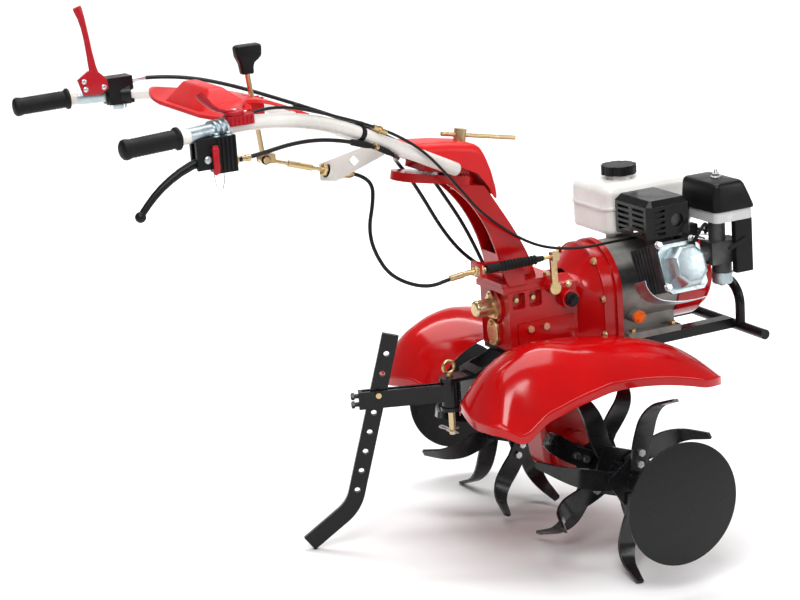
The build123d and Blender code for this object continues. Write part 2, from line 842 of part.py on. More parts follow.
with BuildPart() as final_drive_case:
    with BuildSketch(Plane.XZ):
        Circle(case_bottom_radius)
        with Locations(((case_top_x[0] + case_top_x[1]) / 2, gearbox_bottom_z - case_round)):
            Rectangle(case_top_x[1] - case_top_x[0], 2 * case_round)
        make_hull()
    extrude(amount=case_half_width, both=True)
    side_rims = final_drive_case.faces().filter_by(Axis.Y).edges()
    fillet(side_rims.filter_by(lambda rim: rim.center().Z < gearbox_bottom_z - case_round), case_round)
    with BuildSketch(Plane.XZ):
        Circle(case_boss_radius)
    extrude(amount=case_boss_y, both=True)
    chamfer(final_drive_case.faces().filter_by(Axis.Y).sort_by(Axis.Y)[0].edges(), case_boss_chamfer)
    chamfer(final_drive_case.faces().filter_by(Axis.Y).sort_by(Axis.Y)[-1].edges(), case_boss_chamfer)
    # Room for the final gear and bore for the axle
    with BuildSketch(Plane.XZ):
        Circle(final_gear_radius + free_gap)
    extrude(amount=final_gear_width / 2 + free_gap, both=True, mode=Mode.SUBTRACT)
    with BuildSketch(Plane.XZ):
        Circle(axle_radius + run_fit)
    extrude(amount=case_boss_y, both=True, mode=Mode.SUBTRACT)
write(final_drive_case, "final_drive_case")

with BuildPart() as main_shaft:
    with BuildSketch(Plane.XZ):
        with BuildLine():
            Polyline((main_shaft_rear_x, crank_z), (main_shaft_rear_x, crank_z + main_shaft_radius),
                     (pinion_rear_x, crank_z + main_shaft_radius),
                     (pinion_rear_x, crank_z + pinion_small_radius),
                     (pinion_front_x, crank_z + pinion_large_radius),
                     (pinion_front_x, crank_z + main_shaft_radius),
                     (clutch_rear_x, crank_z + main_shaft_radius),
                     (clutch_rear_x, crank_z + clutch_radius),
                     (clutch_front_x, crank_z + clutch_radius),
                     (clutch_front_x, crank_z), close=True)
        make_face()
    revolve(axis=Axis((0, 0, crank_z), (1, 0, 0)))
write(main_shaft, "main_shaft")


# Frame of the swivel head: local X runs forward along the plates, local Z up the pivot
head = Plane((pivot_x, 0, pivot_z), x_dir=(cos(radians(head_tilt)), 0, -sin(radians(head_tilt))),
             z_dir=(sin(radians(head_tilt)), 0, cos(radians(head_tilt))))
head_side = Plane(head.origin, x_dir=head.x_dir, z_dir=-head.y_dir)


def column_face(front_inset, rear_extra):
    """Side view of the column between its front and rear curves, cut off under the swivel head."""
    with BuildSketch(Plane.XZ) as outline:
        with BuildLine():
            front = Spline(*[(x - front_inset, z) for x, z in column_front])
            rear = Spline(*[(x - rear_extra, z) for x, z in column_rear])
            Line(front @ 1, rear @ 1)
            Line(rear @ 0, front @ 0)
        make_face()
    return outline.sketch


# Steering column: curved channel, open to the rear above its foot, on a flange over the gearbox
with BuildPart() as column:
    extrude(column_face(0, 0), amount=column_half_width, both=True)
    extrude(column_face(column_wall, column_wall), amount=column_half_width - column_wall, both=True,
            mode=Mode.SUBTRACT)
    with BuildSketch(Plane.XZ):
        add(column_face(0, 0))
        add(column_face(-column_wall, -column_wall), mode=Mode.SUBTRACT)
        with Locations(column_rear[0]):
            Rectangle(gearbox_top_z, 2 * column_closed_height, mode=Mode.INTERSECT)
    extrude(amount=column_half_width, both=True)
    with BuildSketch(Plane.XY.offset(gearbox_top_z)):
        with Locations(((column_flange_x[0] + column_flange_x[1]) / 2, 0)):
            RectangleRounded(column_flange_x[1] - column_flange_x[0], 2 * column_flange_half_width,
                             column_flange_corner)
    extrude(amount=column_flange_thickness)
    with BuildSketch(head.offset(-base_thickness)):
        Rectangle(gearbox_top_z, gearbox_top_z)
    extrude(amount=base_thickness, mode=Mode.SUBTRACT)
write(column, "column")

column_foot_z = gearbox_top_z + column_flange_thickness
column_bolt_seats = [Plane((x, y, column_foot_z), z_dir=(0, 0, 1))
                     for x in column_bolt_x for y in (-column_bolt_y, column_bolt_y)]

with BuildPart() as cable_stay:
    with BuildSketch(Plane.XY.offset(column_foot_z)):
        with Locations(((stay_x + stay_foot_x) / 2, (stay_foot_y[0] + stay_foot_y[1]) / 2)):
            Rectangle(stay_foot_x - stay_x, stay_foot_y[1] - stay_foot_y[0])
    extrude(amount=stay_thickness)
    with BuildSketch(across(stay_x)):
        with Locations(((stay_y[0] + stay_y[1]) / 2, (column_foot_z + stay_top_z) / 2)):
            RectangleRounded(stay_y[1] - stay_y[0], stay_top_z - column_foot_z, stay_thickness)
        with Locations((shift_end_y, shift_end_z)):
            Circle(adjuster_radius + run_fit, mode=Mode.SUBTRACT)
    extrude(amount=stay_thickness)
    with BuildSketch(Plane.XY.offset(column_foot_z)):
        with Locations((column_bolt_x[0], -column_bolt_y)):
            Circle(frame_bolt_head + free_gap)
    extrude(amount=stay_thickness, mode=Mode.SUBTRACT)
write(cable_stay, "cable_stay")


def tooth_ring(w, turn):
    """Ring of radial teeth on a level of the swivel head, standing up from that level."""
    middle = (tooth_ring_radii[0] + tooth_ring_radii[1]) / 2
    with BuildSketch(head.offset(w)) as teeth:
        with PolarLocations(middle, tooth_count, start_angle=turn):
            Rectangle(tooth_ring_radii[1] - tooth_ring_radii[0] - free_gap, tooth_arc)
    return teeth.sketch


# Lower swivel plate, fixed on the column
with BuildPart() as swivel_base:
    with BuildSketch(head):
        Circle(base_pivot_radius)
        with Locations((base_end_u, 0)):
            Circle(base_end_radius)
        make_hull()
        Circle(bolt_shank_radius + run_fit, mode=Mode.SUBTRACT)
    extrude(amount=-base_thickness)
    extrude(tooth_ring(-free_gap, 0), amount=tooth_height + free_gap)
write(swivel_base, "swivel_base")


# Handlebar tubes, welded to the sides of the upper swivel plate
def arm_route(side):
    """Centre line of the left (1) or the right (-1) tube."""
    points = [(x, side * y, z) for x, y, z in arm_points]
    with BuildLine() as route:
        FilletPolyline(*points, radius=list(arm_bends))
    return route.line


def arm_tube(side, outer, inner):
    """Tube along one arm; an inner radius of zero makes it solid."""
    route = arm_route(side)
    with BuildPart() as tube:
        with BuildSketch(Plane(origin=route @ 0, z_dir=route % 0)) as ring:
            Circle(outer)
            if inner:
                Circle(inner, mode=Mode.SUBTRACT)
        sweep(ring.sketch, path=route)
    return tube


def arm(side):
    """Finished tube of one side."""
    return arm_tube(side, arm_radius, arm_radius - arm_wall)


handlebar_tubes = both_sides(arm)
write(handlebar_tubes, "handlebar_tubes")
arm_solids = [arm_tube(side, arm_radius, 0).part for side in (1, -1)]
arm_clearance = [arm_tube(side, arm_radius + free_gap, 0).part for side in (1, -1)]

with BuildPart() as swivel_plate:
    with BuildSketch(head.offset(plate_gap)):
        Circle(plate_front_radius)
        with Locations((plate_rear_u + plate_thickness, 0)):
            Rectangle(2 * plate_thickness, 2 * plate_rear_half_width)
        make_hull()
    extrude(amount=plate_thickness)
    with BuildSketch(head.offset(plate_gap)):
        Circle(hub_radius)
    extrude(amount=-(plate_gap - seat_gap))
    extrude(tooth_ring(plate_gap + free_gap, 180 / tooth_count), amount=-(tooth_height + free_gap))
    with BuildSketch(head):
        Circle(bolt_shank_radius + run_fit)
    extrude(amount=plate_gap + plate_thickness, mode=Mode.SUBTRACT)
    for solid in arm_solids:
        add(solid, mode=Mode.SUBTRACT)
write(swivel_plate, "swivel_plate")


def hood_face(inset):
    """Side view of the hood, shrunk by inset at the top and the front and open below."""
    with BuildSketch(head_side) as outline:
        with BuildLine():
            top = Polyline((hood_top[0][0] - inset, hood_top[0][1] - inset),
                           (hood_top[1][0] - inset, hood_top[1][1] - inset),
                           (hood_top[2][0], hood_top[2][1] - inset), (hood_top[3][0], hood_top[3][1] - inset))
            front = ThreePointArc(top @ 1, (hood_front[0][0] - inset, hood_front[0][1] - inset),
                                  (hood_front[1][0] - inset, hood_front[1][1] - inset))
            lower = [(u, w - 2 * inset) for u, w in hood_lower]
            Polyline(front @ 1, *lower, top @ 0)
        make_face()
    return outline.sketch


def hood_plan(inset):
    """Plan of the hood, with a rounded front."""
    length = hood_front[1][0] - hood_top[0][0] + 2 * hood_lip
    with BuildSketch(head.offset(-hood_half_width)) as outline:
        with Locations((hood_front[1][0] - inset - length / 2, 0)):
            RectangleRounded(length, 2 * (hood_half_width - inset), hood_corner - inset)
    return outline.sketch


with BuildPart() as hood_room:
    extrude(hood_face(hood_wall), amount=hood_half_width, both=True)
    extrude(hood_plan(hood_wall), amount=3 * hood_half_width, mode=Mode.INTERSECT)

with BuildPart() as head_cap:
    extrude(hood_face(0), amount=hood_half_width, both=True)
    extrude(hood_plan(0), amount=3 * hood_half_width, mode=Mode.INTERSECT)
    add(hood_room.part, mode=Mode.SUBTRACT)
    with BuildSketch(head):
        Circle(bolt_shank_radius + free_gap)
    extrude(amount=hood_half_width * 2, mode=Mode.SUBTRACT)
    for solid in arm_clearance:
        add(solid, mode=Mode.SUBTRACT)
write(head_cap, "head_cap")

with BuildPart() as t_handle:
    with BuildSketch(head.offset(bolt_shank_w)):
        Circle(bolt_shank_radius)
    extrude(amount=hood_bolt_w + seat_gap - bolt_shank_w)
    with BuildSketch(head.offset(hood_bolt_w + seat_gap)):
        Circle(handle_block_radius)
    extrude(amount=handle_block_height)
    bar_rear = head.from_local_coords((handle_bar_offset - handle_bar_length / 2, 0,
                                       hood_bolt_w + handle_block_height / 2))
    with BuildSketch(Plane(bar_rear, z_dir=head.x_dir)):
        Circle(handle_bar_radius)
    extrude(amount=handle_bar_length)
write(t_handle, "t_handle")


# Fenders: arched sheets over the rotor, with a lip along the outer edge and a mounting tab
def fender_strip(points, depth, y):
    """Curved strip of the fender in a side view plane on the right."""
    with BuildSketch(Plane.XZ.offset(y)) as outline:
        with BuildLine():
            top = Spline(*points)
            bottom = Spline(*[(x, z - depth) for x, z in points])
            Line(top @ 0, bottom @ 0)
            Line(top @ 1, bottom @ 1)
        make_face()
    return outline.sketch


with BuildPart() as fender_right:
    loft([fender_strip(fender_inner, fender_sheet, gearbox_half_width),
          fender_strip(fender_outer, fender_sheet, fender_outer_y)], ruled=True)
    extrude(fender_strip(fender_outer, fender_lip, fender_outer_y), amount=-fender_sheet)
    with BuildSketch(Plane.XY):
        with Locations((fender_notch_x + fender_outer_y / 2, 0)):
            Rectangle(fender_outer_y, 2 * fender_notch_y)
    extrude(amount=fender_outer_y, mode=Mode.SUBTRACT)
    with BuildSketch(Plane.XZ.offset(gearbox_half_width)):
        add(fender_strip([(x, z + fender_tab_height) for x, z in fender_inner],
                         fender_tab_height + fender_sheet, 0))
        with Locations((middle(fender_tab_x), 0)):
            Rectangle(fender_tab_x[1] - fender_tab_x[0], 2 * crank_z, mode=Mode.INTERSECT)
    extrude(amount=fender_sheet)
write(fender_right, "fender_right")

with BuildPart() as fender_left:
    mirror(fender_right.part, about=Plane.XZ)
write(fender_left, "fender_left")
fender_bolt_seats = [Plane((x, hand * (gearbox_half_width + fender_sheet), fender_bolt_z), z_dir=(0, hand, 0))
                     for x in fender_bolt_x for hand in (-1, 1)]

# Front frame: two rails under the engine with a bar and a hoop across their ends
with BuildPart() as front_frame:
    with BuildSketch(across(rail_x[0])):
        for hand in (-1, 1):
            with Locations((hand * (rail_y[0] + rail_y[1]) / 2, (rail_z[0] + rail_z[1]) / 2)):
                Rectangle(rail_y[1] - rail_y[0], rail_z[1] - rail_z[0])
    extrude(amount=rail_x[1] - rail_x[0])
    with BuildSketch(across(rail_x[0])):
        with Locations((0, (rail_z[1] + bell_bottom_z) / 2)):
            Rectangle(2 * rail_y[1], bell_bottom_z - rail_z[1])
    extrude(amount=bell_plate_x - rail_x[0])
    with BuildSketch(Plane.XZ):
        with Locations((bar_x, bar_z)):
            Circle(bar_radius)
    extrude(amount=bar_half_length, both=True)
    with BuildLine(across(bar_x)) as hoop:
        FilletPolyline((-hoop_half_width, bar_z), (-hoop_half_width, hoop_top_z),
                       (hoop_half_width, hoop_top_z), (hoop_half_width, bar_z), radius=hoop_corner)
    with BuildSketch(Plane(origin=hoop.line @ 0, z_dir=hoop.line % 0)):
        Circle(hoop_radius)
    sweep(path=hoop.line)
write(front_frame, "front_frame")

# Hitch bracket behind the gearbox
hitch_mount_z = gearbox_bottom_z - hitch_mount_thickness
with BuildPart() as hitch_bracket:
    with BuildSketch(Plane.XY.offset(hitch_mount_z)):
        with Locations(((hitch_mount_x[0] + hitch_mount_x[1]) / 2, 0)):
            Rectangle(hitch_mount_x[1] - hitch_mount_x[0], 2 * hitch_mount_half_width)
    extrude(amount=hitch_mount_thickness)
    with BuildSketch(Plane.XZ):
        with BuildLine():
            Polyline((hitch_mount_x[1], hitch_mount_z), (hitch_mount_x[0], hitch_mount_z),
                     (hitch_block_x[0], hitch_block_z[1]), (hitch_block_x[0], hitch_block_z[0]),
                     (hitch_block_x[1], hitch_block_z[0]), close=True)
        make_face()
    extrude(amount=hitch_block_half_width, both=True)
    with BuildSketch(Plane.XZ):
        with Locations(((hitch_block_x[1] + hitch_mount_x[1]) / 2, hitch_mount_z - hitch_block_z[0])):
            Rectangle(hitch_mount_x[1] - hitch_block_x[1], 2 * hitch_mount_z)
    extrude(amount=hitch_block_half_width - hitch_side_thickness, both=True, mode=Mode.SUBTRACT)
    with BuildSketch(Plane.XY.offset(hitch_mount_z)):
        with Locations(((hitch_mount_x[0] + hitch_mount_x[1]) / 2, 0)):
            Rectangle(hitch_mount_x[1] - hitch_mount_x[0], 2 * hitch_mount_half_width)
    extrude(amount=hitch_mount_thickness)
    for z in hitch_plate_z:
        with BuildSketch(Plane.XY.offset(z)):
            with Locations((hitch_pin_x, 0)):
                Circle(hitch_plate_half_width)
            with Locations(((hitch_pin_x + hitch_block_x[1]) / 2, 0)):
                Rectangle(hitch_block_x[1] - hitch_pin_x, 2 * hitch_plate_half_width)
            with Locations((hitch_pin_x, 0)):
                Circle(pin_radius + run_fit, mode=Mode.SUBTRACT)
        extrude(amount=hitch_plate_thickness)
write(hitch_bracket, "hitch_bracket")
hitch_bolt_seats = [Plane(((hitch_mount_x[0] + hitch_mount_x[1]) / 2, y, hitch_mount_z), z_dir=(0, 0, -1))
                    for y in (-hitch_bolt_y, hitch_bolt_y)]

with BuildPart() as hitch_pin:
    with BuildSketch(Plane.XY.offset(pin_bottom_z)):
        with Locations((hitch_pin_x, 0)):
            Circle(pin_radius)
    extrude(amount=pin_top_z - pin_bottom_z)
    with Locations(Location((hitch_pin_x, 0, pin_top_z + pin_ring_radius), (90, 0, 0))):
        Torus(pin_ring_radius, pin_ring_wire)
    with Locations(Location((hitch_pin_x, 0, clip_z), (0, 90, 0))):
        Cylinder(clip_wire, 4 * pin_radius)
    with Locations((hitch_pin_x, 0, clip_z)):
        Torus(pin_radius + clip_wire / 2, clip_wire)
write(hitch_pin, "hitch_pin")

# Drag bar: carrier, stake and stake pin, swung to the left about the hitch pin
drag = Plane((hitch_pin_x, 0, 0), x_dir=(-cos(radians(drag_swing)), sin(radians(drag_swing)), 0), z_dir=(0, 0, 1))
drag_side = Plane(drag.origin, x_dir=drag.x_dir, z_dir=-drag.y_dir)
stake_half = stake_thickness / 2
strap_inner = stake_half + seat_gap
carrier_z = (hitch_plate_z[0] + hitch_plate_thickness + seat_gap, hitch_plate_z[1] - seat_gap)

with BuildLine(drag_side) as stake_line:
    FilletPolyline(*stake_path, radius=stake_bend)
stake_wire = Wire(stake_line.edges())
stake_hole_points = [stake_wire.position_at(stake_hole_start + stake_hole_pitch * k, PositionMode.LENGTH)
                     for k in range(stake_hole_count)]

with BuildPart() as drag_stake:
    with BuildSketch(drag_side):
        with BuildLine():
            FilletPolyline(*stake_path, radius=stake_bend)
        trace(line_width=stake_width)
    extrude(amount=stake_half, both=True)
    for place in stake_hole_points:
        with BuildSketch(Plane(place, z_dir=drag_side.z_dir)):
            Circle(stake_hole_radius)
        extrude(amount=stake_thickness, both=True, mode=Mode.SUBTRACT)
write(drag_stake, "drag_stake")

pin_place = stake_hole_points[stake_pin_hole]
with BuildPart() as drag_carrier:
    with BuildSketch(drag.offset(carrier_z[0])):
        Circle(carrier_head_radius)
        Circle(pin_radius + run_fit, mode=Mode.SUBTRACT)
    extrude(amount=carrier_z[1] - carrier_z[0])
    with BuildSketch(drag.offset(strap_z[0])):
        for hand in (-1, 1):
            with Locations(((strap_s[0] + strap_s[1]) / 2, hand * (strap_inner + strap_thickness / 2))):
                Rectangle(strap_s[1] - strap_s[0], strap_thickness)
        with Locations((strap_s[1] - strap_end / 2, 0)):
            Rectangle(strap_end, 2 * strap_inner)
        Circle(pin_radius + run_fit, mode=Mode.SUBTRACT)
    extrude(amount=strap_z[1] - strap_z[0])
    for z in clamp_bolt_z:
        with BuildSketch(Plane(drag.from_local_coords((strap_s[1], 0, z)), z_dir=drag.x_dir)):
            Circle(clamp_bolt_radius)
        extrude(amount=clamp_bolt_length)
        with BuildSketch(Plane(drag.from_local_coords((strap_s[1] + clamp_bolt_length / 2, 0, z)),
                               z_dir=drag.x_dir)):
            RegularPolygon(frame_bolt_head, 6)
        extrude(amount=frame_bolt_height)
    with BuildSketch(Plane(pin_place, z_dir=drag_side.z_dir)):
        Circle(stake_hole_radius)
    extrude(amount=stake_pin_half_length, both=True, mode=Mode.SUBTRACT)
write(drag_carrier, "drag_carrier")

with BuildPart() as stake_pin:
    with BuildSketch(Plane(pin_place, z_dir=drag_side.z_dir)):
        Circle(stake_hole_radius - run_fit)
    extrude(amount=stake_pin_half_length, both=True)
    with BuildSketch(Plane(pin_place, z_dir=drag_side.z_dir).offset(strap_inner + strap_thickness)):
        Circle(stake_pin_head)
    extrude(amount=stake_pin_head_height)
write(stake_pin, "stake_pin")


# Engine block: crankcase and finned cylinder cast in one piece, cylinder lying to the right
cylinder = Plane((cylinder_x, 0, crank_z), x_dir=(1, 0, 0),
                 z_dir=(0, -cos(radians(cylinder_tilt)), sin(radians(cylinder_tilt))))


def block(x, y, z):
    """Sharp box between pairs of places."""
    return Pos(middle(x), middle(y), middle(z)) * Box(x[1] - x[0], y[1] - y[0], z[1] - z[0], mode=Mode.PRIVATE)


with BuildPart() as engine_block:
    with BuildSketch(across(case_x[0])):
        with Locations((0, crank_z)):
            Circle(case_radius)
    extrude(amount=case_x[1] - case_x[0])
    add(block(base_x, (-base_half_width, base_half_width), base_z))
    add(block(base_x, (-base_web_half_width, base_web_half_width), (base_z[0], crank_z)))
    with BuildSketch(cylinder):
        Rectangle(cylinder_width, cylinder_height)
    extrude(amount=head_s[1])
    for k in range(fin_count):
        with BuildSketch(cylinder.offset(fin_first + fin_pitch * k)):
            Rectangle(fin_width, fin_height)
        extrude(amount=fin_thickness)
    with BuildSketch(cylinder.offset(head_s[0])):
        Rectangle(fin_width, fin_height)
    extrude(amount=head_s[1] - head_s[0])
    add(block((cylinder_x - port_size / 2, cylinder_x + port_size / 2),
              (port_y - port_size / 2, port_y + port_size / 2), (crank_z, port_top_z)))
    add(block(tank_post_x, tank_post_y, (tank_post_bottom_z, tank_z[0])))
    with BuildSketch(Plane.XZ.offset(-dipstick_seat_y)):
        with Locations((dipstick_x, dipstick_z)):
            Circle(dipstick_boss_radius)
    extrude(amount=dipstick_seat_y)
    # Room for the crank and its bearings, oil filler hole
    with BuildSketch(across(case_x[0])):
        with Locations((0, crank_z)):
            Circle(crank_radius + run_fit)
    extrude(amount=case_x[1] - case_x[0], mode=Mode.SUBTRACT)
    with BuildSketch(across(crank_room_x[0])):
        with Locations((0, crank_z)):
            Circle(crank_web_radius + free_gap)
    extrude(amount=crank_room_x[1] - crank_room_x[0], mode=Mode.SUBTRACT)
    with BuildSketch(Plane.XZ.offset(-dipstick_seat_y)):
        with Locations((dipstick_x, dipstick_z)):
            Circle(dipstick_shank_radius + run_fit)
    extrude(amount=-(dipstick_shank_length + free_gap), mode=Mode.SUBTRACT)
write(engine_block, "engine_block")
engine_bolt_seats = [Plane((x, y, base_z[1]), z_dir=(0, 0, 1))
                     for x in engine_bolt_x for y in (-engine_bolt_y, engine_bolt_y)]

with BuildPart() as crankshaft:
    with BuildSketch(Plane.XZ):
        with Locations((middle((crank_rear_x, crank_front_x)), crank_z + crank_radius / 2)):
            Rectangle(crank_front_x - crank_rear_x, crank_radius)
        for web in crank_webs:
            with Locations((middle(web), crank_z + crank_web_radius / 2)):
                Rectangle(web[1] - web[0], crank_web_radius)
        with Locations((middle(flywheel_x), crank_z + flywheel_radius / 2)):
            Rectangle(flywheel_x[1] - flywheel_x[0], flywheel_radius)
    revolve(axis=Axis((0, 0, crank_z), (1, 0, 0)))
write(crankshaft, "crankshaft")

with BuildPart() as valve_cover:
    with BuildSketch(cylinder.offset(head_s[1])):
        RectangleRounded(fin_width, fin_height, cover_round)
    extrude(amount=cover_flange)
    with BuildSketch(cylinder.offset(head_s[1] + cover_flange)):
        RectangleRounded(cover_width - cover_taper, cover_height - cover_taper, cover_round)
    extrude(amount=cover_depth, taper=cover_taper)
    fillet(valve_cover.faces().sort_by(Axis(cylinder.origin, cylinder.z_dir))[-1].edges(), cover_round / 2)
write(valve_cover, "valve_cover")
cover_bolt_seats = [Plane(cylinder.from_local_coords((a * cover_bolt_spread[0], b * cover_bolt_spread[1],
                                                      head_s[1] + cover_flange)), z_dir=cylinder.z_dir)
                    for a in (-1, 1) for b in (-1, 1)]

with BuildPart() as dipstick:
    with BuildSketch(Plane.XZ.offset(-dipstick_seat_y + seat_gap)):
        with Locations((dipstick_x, dipstick_z)):
            Circle(dipstick_head_radius)
    extrude(amount=dipstick_head_height)
    with BuildSketch(Plane.XZ.offset(-dipstick_seat_y + seat_gap + dipstick_head_height)):
        with Locations((dipstick_x, dipstick_z)):
            SlotOverall(2 * dipstick_head_radius - dipstick_grip_width, dipstick_grip_width, rotation=plug_grip_turn)
    extrude(amount=dipstick_grip_height)
    with BuildSketch(Plane.XZ.offset(-dipstick_seat_y + seat_gap)):
        with Locations((dipstick_x, dipstick_z)):
            Circle(dipstick_shank_radius)
    extrude(amount=-dipstick_shank_length)
write(dipstick, "dipstick")

# Muffler with its guard
guard_x = (muffler_x[0] - guard_gap - guard_sheet, muffler_x[1] + guard_gap + guard_sheet)
guard_y = (muffler_y[0] - guard_gap - guard_sheet, muffler_y[1] + guard_gap + guard_sheet)
guard_z = (muffler_z[0] - guard_gap, muffler_z[1] + guard_gap + guard_sheet)

with BuildPart() as muffler:
    add(block(muffler_x, muffler_y, muffler_z))
    fillet(muffler.edges(), muffler_round)
    with BuildSketch(Plane.XY.offset(port_top_z)):
        with Locations((cylinder_x, port_y)):
            Circle(exhaust_radius)
    extrude(amount=muffler_z[0] + muffler_round - port_top_z)
    # Spacers that carry the guard
    with BuildSketch(Plane.XY.offset(muffler_z[1] - muffler_round)):
        with Locations((muffler_x[0] + 2 * muffler_round, middle(muffler_y)),
                       (muffler_x[1] - 2 * muffler_round, middle(muffler_y))):
            Circle(post_radius)
    extrude(amount=muffler_round + guard_gap)
write(muffler, "muffler")

with BuildPart() as muffler_guard:
    add(block(guard_x, guard_y, guard_z))
    chamfer(muffler_guard.edges().filter_by(Axis.Z), guard_corner)
    chamfer(muffler_guard.faces().sort_by(Axis.Z)[-1].edges(), guard_chamfer)
    offset(amount=-guard_sheet, openings=muffler_guard.faces().sort_by(Axis.Z)[0])
    # Slots in the rear and the right face, round outlet in the right face
    guard_slot_z = middle(guard_z) - guard_chamfer / 2
    with BuildSketch(across(guard_x[0])):
        with Locations((middle(guard_y), guard_slot_z)):
            with GridLocations(guard_slot_length + 2 * guard_slot_width, guard_slot_pitch, 2, guard_slot_rows):
                SlotOverall(guard_slot_length, guard_slot_width)
    extrude(amount=2 * guard_sheet, both=True, mode=Mode.SUBTRACT)
    with BuildSketch(Plane.XZ.offset(-guard_y[0])):
        with Locations((guard_x[0] + guard_side_slot_x, guard_slot_z)):
            with GridLocations(guard_slot_pitch, guard_slot_pitch, 1, guard_slot_rows):
                SlotOverall(guard_side_slot_length, guard_slot_width)
        with Locations((guard_x[1] - guard_hole_x, guard_slot_z)):
            Circle(guard_hole_radius)
    extrude(amount=2 * guard_sheet, both=True, mode=Mode.SUBTRACT)
write(muffler_guard, "muffler_guard")

# Fuel tank and cap
with BuildPart() as fuel_tank:
    add(block(tank_x, tank_y, tank_z))
    fillet(fuel_tank.edges().filter_by(Axis.Z), tank_round)
    fillet(fuel_tank.faces().sort_by(Axis.Z)[-1].edges(), tank_round)
    fillet(fuel_tank.faces().sort_by(Axis.Z)[0].edges(), tank_round / 2)
    with BuildSketch(Plane.XY.offset(tank_seam_z)):
        with Locations((middle(tank_x), middle(tank_y))):
            RectangleRounded(tank_x[1] - tank_x[0] + 2 * tank_seam_proud, tank_y[1] - tank_y[0] + 2 * tank_seam_proud,
                             tank_round + tank_seam_proud)
    extrude(amount=tank_seam_height)
    with BuildSketch(Plane.XY.offset(tank_z[1] - tank_wall)):
        with Locations((tank_neck_x, tank_neck_y)):
            Circle(neck_radius)
    extrude(amount=tank_wall + neck_height)
    # Hollow for the fuel and the filler opening
    with BuildSketch(Plane.XY.offset(tank_z[0] + tank_round / 2)):
        with Locations((middle(tank_x), middle(tank_y))):
            RectangleRounded(tank_x[1] - tank_x[0] - 2 * tank_wall, tank_y[1] - tank_y[0] - 2 * tank_wall,
                             tank_round - tank_wall)
    extrude(amount=tank_z[1] - tank_z[0] - 3 * tank_round / 2, mode=Mode.SUBTRACT)
    with BuildSketch(Plane.XY.offset(tank_z[1] + neck_height)):
        with Locations((tank_neck_x, tank_neck_y)):
            Circle(neck_bore + run_fit)
    extrude(amount=-(tank_round + neck_height), mode=Mode.SUBTRACT)
write(fuel_tank, "fuel_tank")

cap_seat_z = tank_z[1] + neck_height + seat_gap
with BuildPart() as fuel_cap:
    with BuildSketch(Plane.XY.offset(cap_seat_z)):
        with Locations((tank_neck_x, tank_neck_y)):
            Circle(cap_radius)
            with PolarLocations(cap_radius + cap_lobe_radius - cap_lobe_depth, cap_lobes):
                Circle(cap_lobe_radius, mode=Mode.SUBTRACT)
    extrude(amount=cap_height)
    with BuildSketch(Plane.XY.offset(cap_seat_z)):
        with Locations((tank_neck_x, tank_neck_y)):
            Circle(neck_bore)
    extrude(amount=-cap_shank_length)
write(fuel_cap, "fuel_cap")

# Air cleaner, carburettor and controls
with BuildPart() as air_cleaner_base:
    add(block((cleaner_x[0] + cleaner_inset, cleaner_x[1] - cleaner_inset),
              (cleaner_y[0] + cleaner_inset, cleaner_y[1] - cleaner_inset), cleaner_z[0:2]))
    fillet(air_cleaner_base.edges().filter_by(Axis.Z), cleaner_round - cleaner_inset)
write(air_cleaner_base, "air_cleaner_base")

with BuildPart() as air_cleaner_cover:
    add(block(cleaner_x, cleaner_y, cleaner_z[1:3]))
    fillet(air_cleaner_cover.edges().filter_by(Axis.Z), cleaner_round)
    fillet(air_cleaner_cover.faces().sort_by(Axis.Z)[-1].edges(), cleaner_round - cleaner_inset)
    with BuildSketch(Plane.XY.offset(cleaner_z[2])):
        with Locations((wing_x, wing_y)):
            Circle(wing_stud_radius + run_fit)
    extrude(amount=-cleaner_round, mode=Mode.SUBTRACT)
write(air_cleaner_cover, "air_cleaner_cover")

with BuildPart() as wing_nut:
    with BuildSketch(Plane.XY.offset(cleaner_z[2] - cleaner_inset)):
        with Locations((wing_x, wing_y)):
            Circle(wing_stud_radius)
    extrude(amount=wing_hub_height)
    with BuildSketch(Plane.XY.offset(cleaner_z[2] + seat_gap)):
        with Locations((wing_x, wing_y)):
            Circle(wing_hub_radius)
    extrude(amount=wing_hub_height)
    with BuildSketch(Plane.XZ.offset(-wing_y)):
        wing_foot_z = cleaner_z[2] + seat_gap
        with BuildLine():
            Polyline((wing_x, wing_foot_z), (wing_x + wing_span / 2, wing_foot_z + wing_height / 2),
                     (wing_x + wing_span / 2, wing_foot_z + wing_height), (wing_x, wing_foot_z + wing_hub_height),
                     (wing_x - wing_span / 2, wing_foot_z + wing_height),
                     (wing_x - wing_span / 2, wing_foot_z + wing_height / 2), close=True)
        make_face()
    extrude(amount=wing_thickness / 2, both=True)
write(wing_nut, "wing_nut")

head_face_x = cylinder_x + fin_width / 2
with BuildPart() as carburettor:
    add(block(carb_x, carb_y, carb_z))
    with BuildSketch(across(head_face_x)):
        with Locations((middle(carb_y), intake_z)):
            Circle(intake_radius)
    extrude(amount=carb_x[0] - head_face_x)
    with BuildSketch(Plane.XY.offset(carb_z[1])):
        with Locations((riser_x, middle(carb_y))):
            Circle(riser_radius)
    extrude(amount=cleaner_z[0] - carb_z[1])
    with BuildSketch(Plane.XY.offset(carb_z[0])):
        with Locations((bowl_x, middle(carb_y))):
            Circle(bowl_radius)
    extrude(amount=bowl_bottom_z - carb_z[0])
    fillet(carburettor.faces().sort_by(Axis.Z)[0].edges(), bowl_round)
write(carburettor, "carburettor")

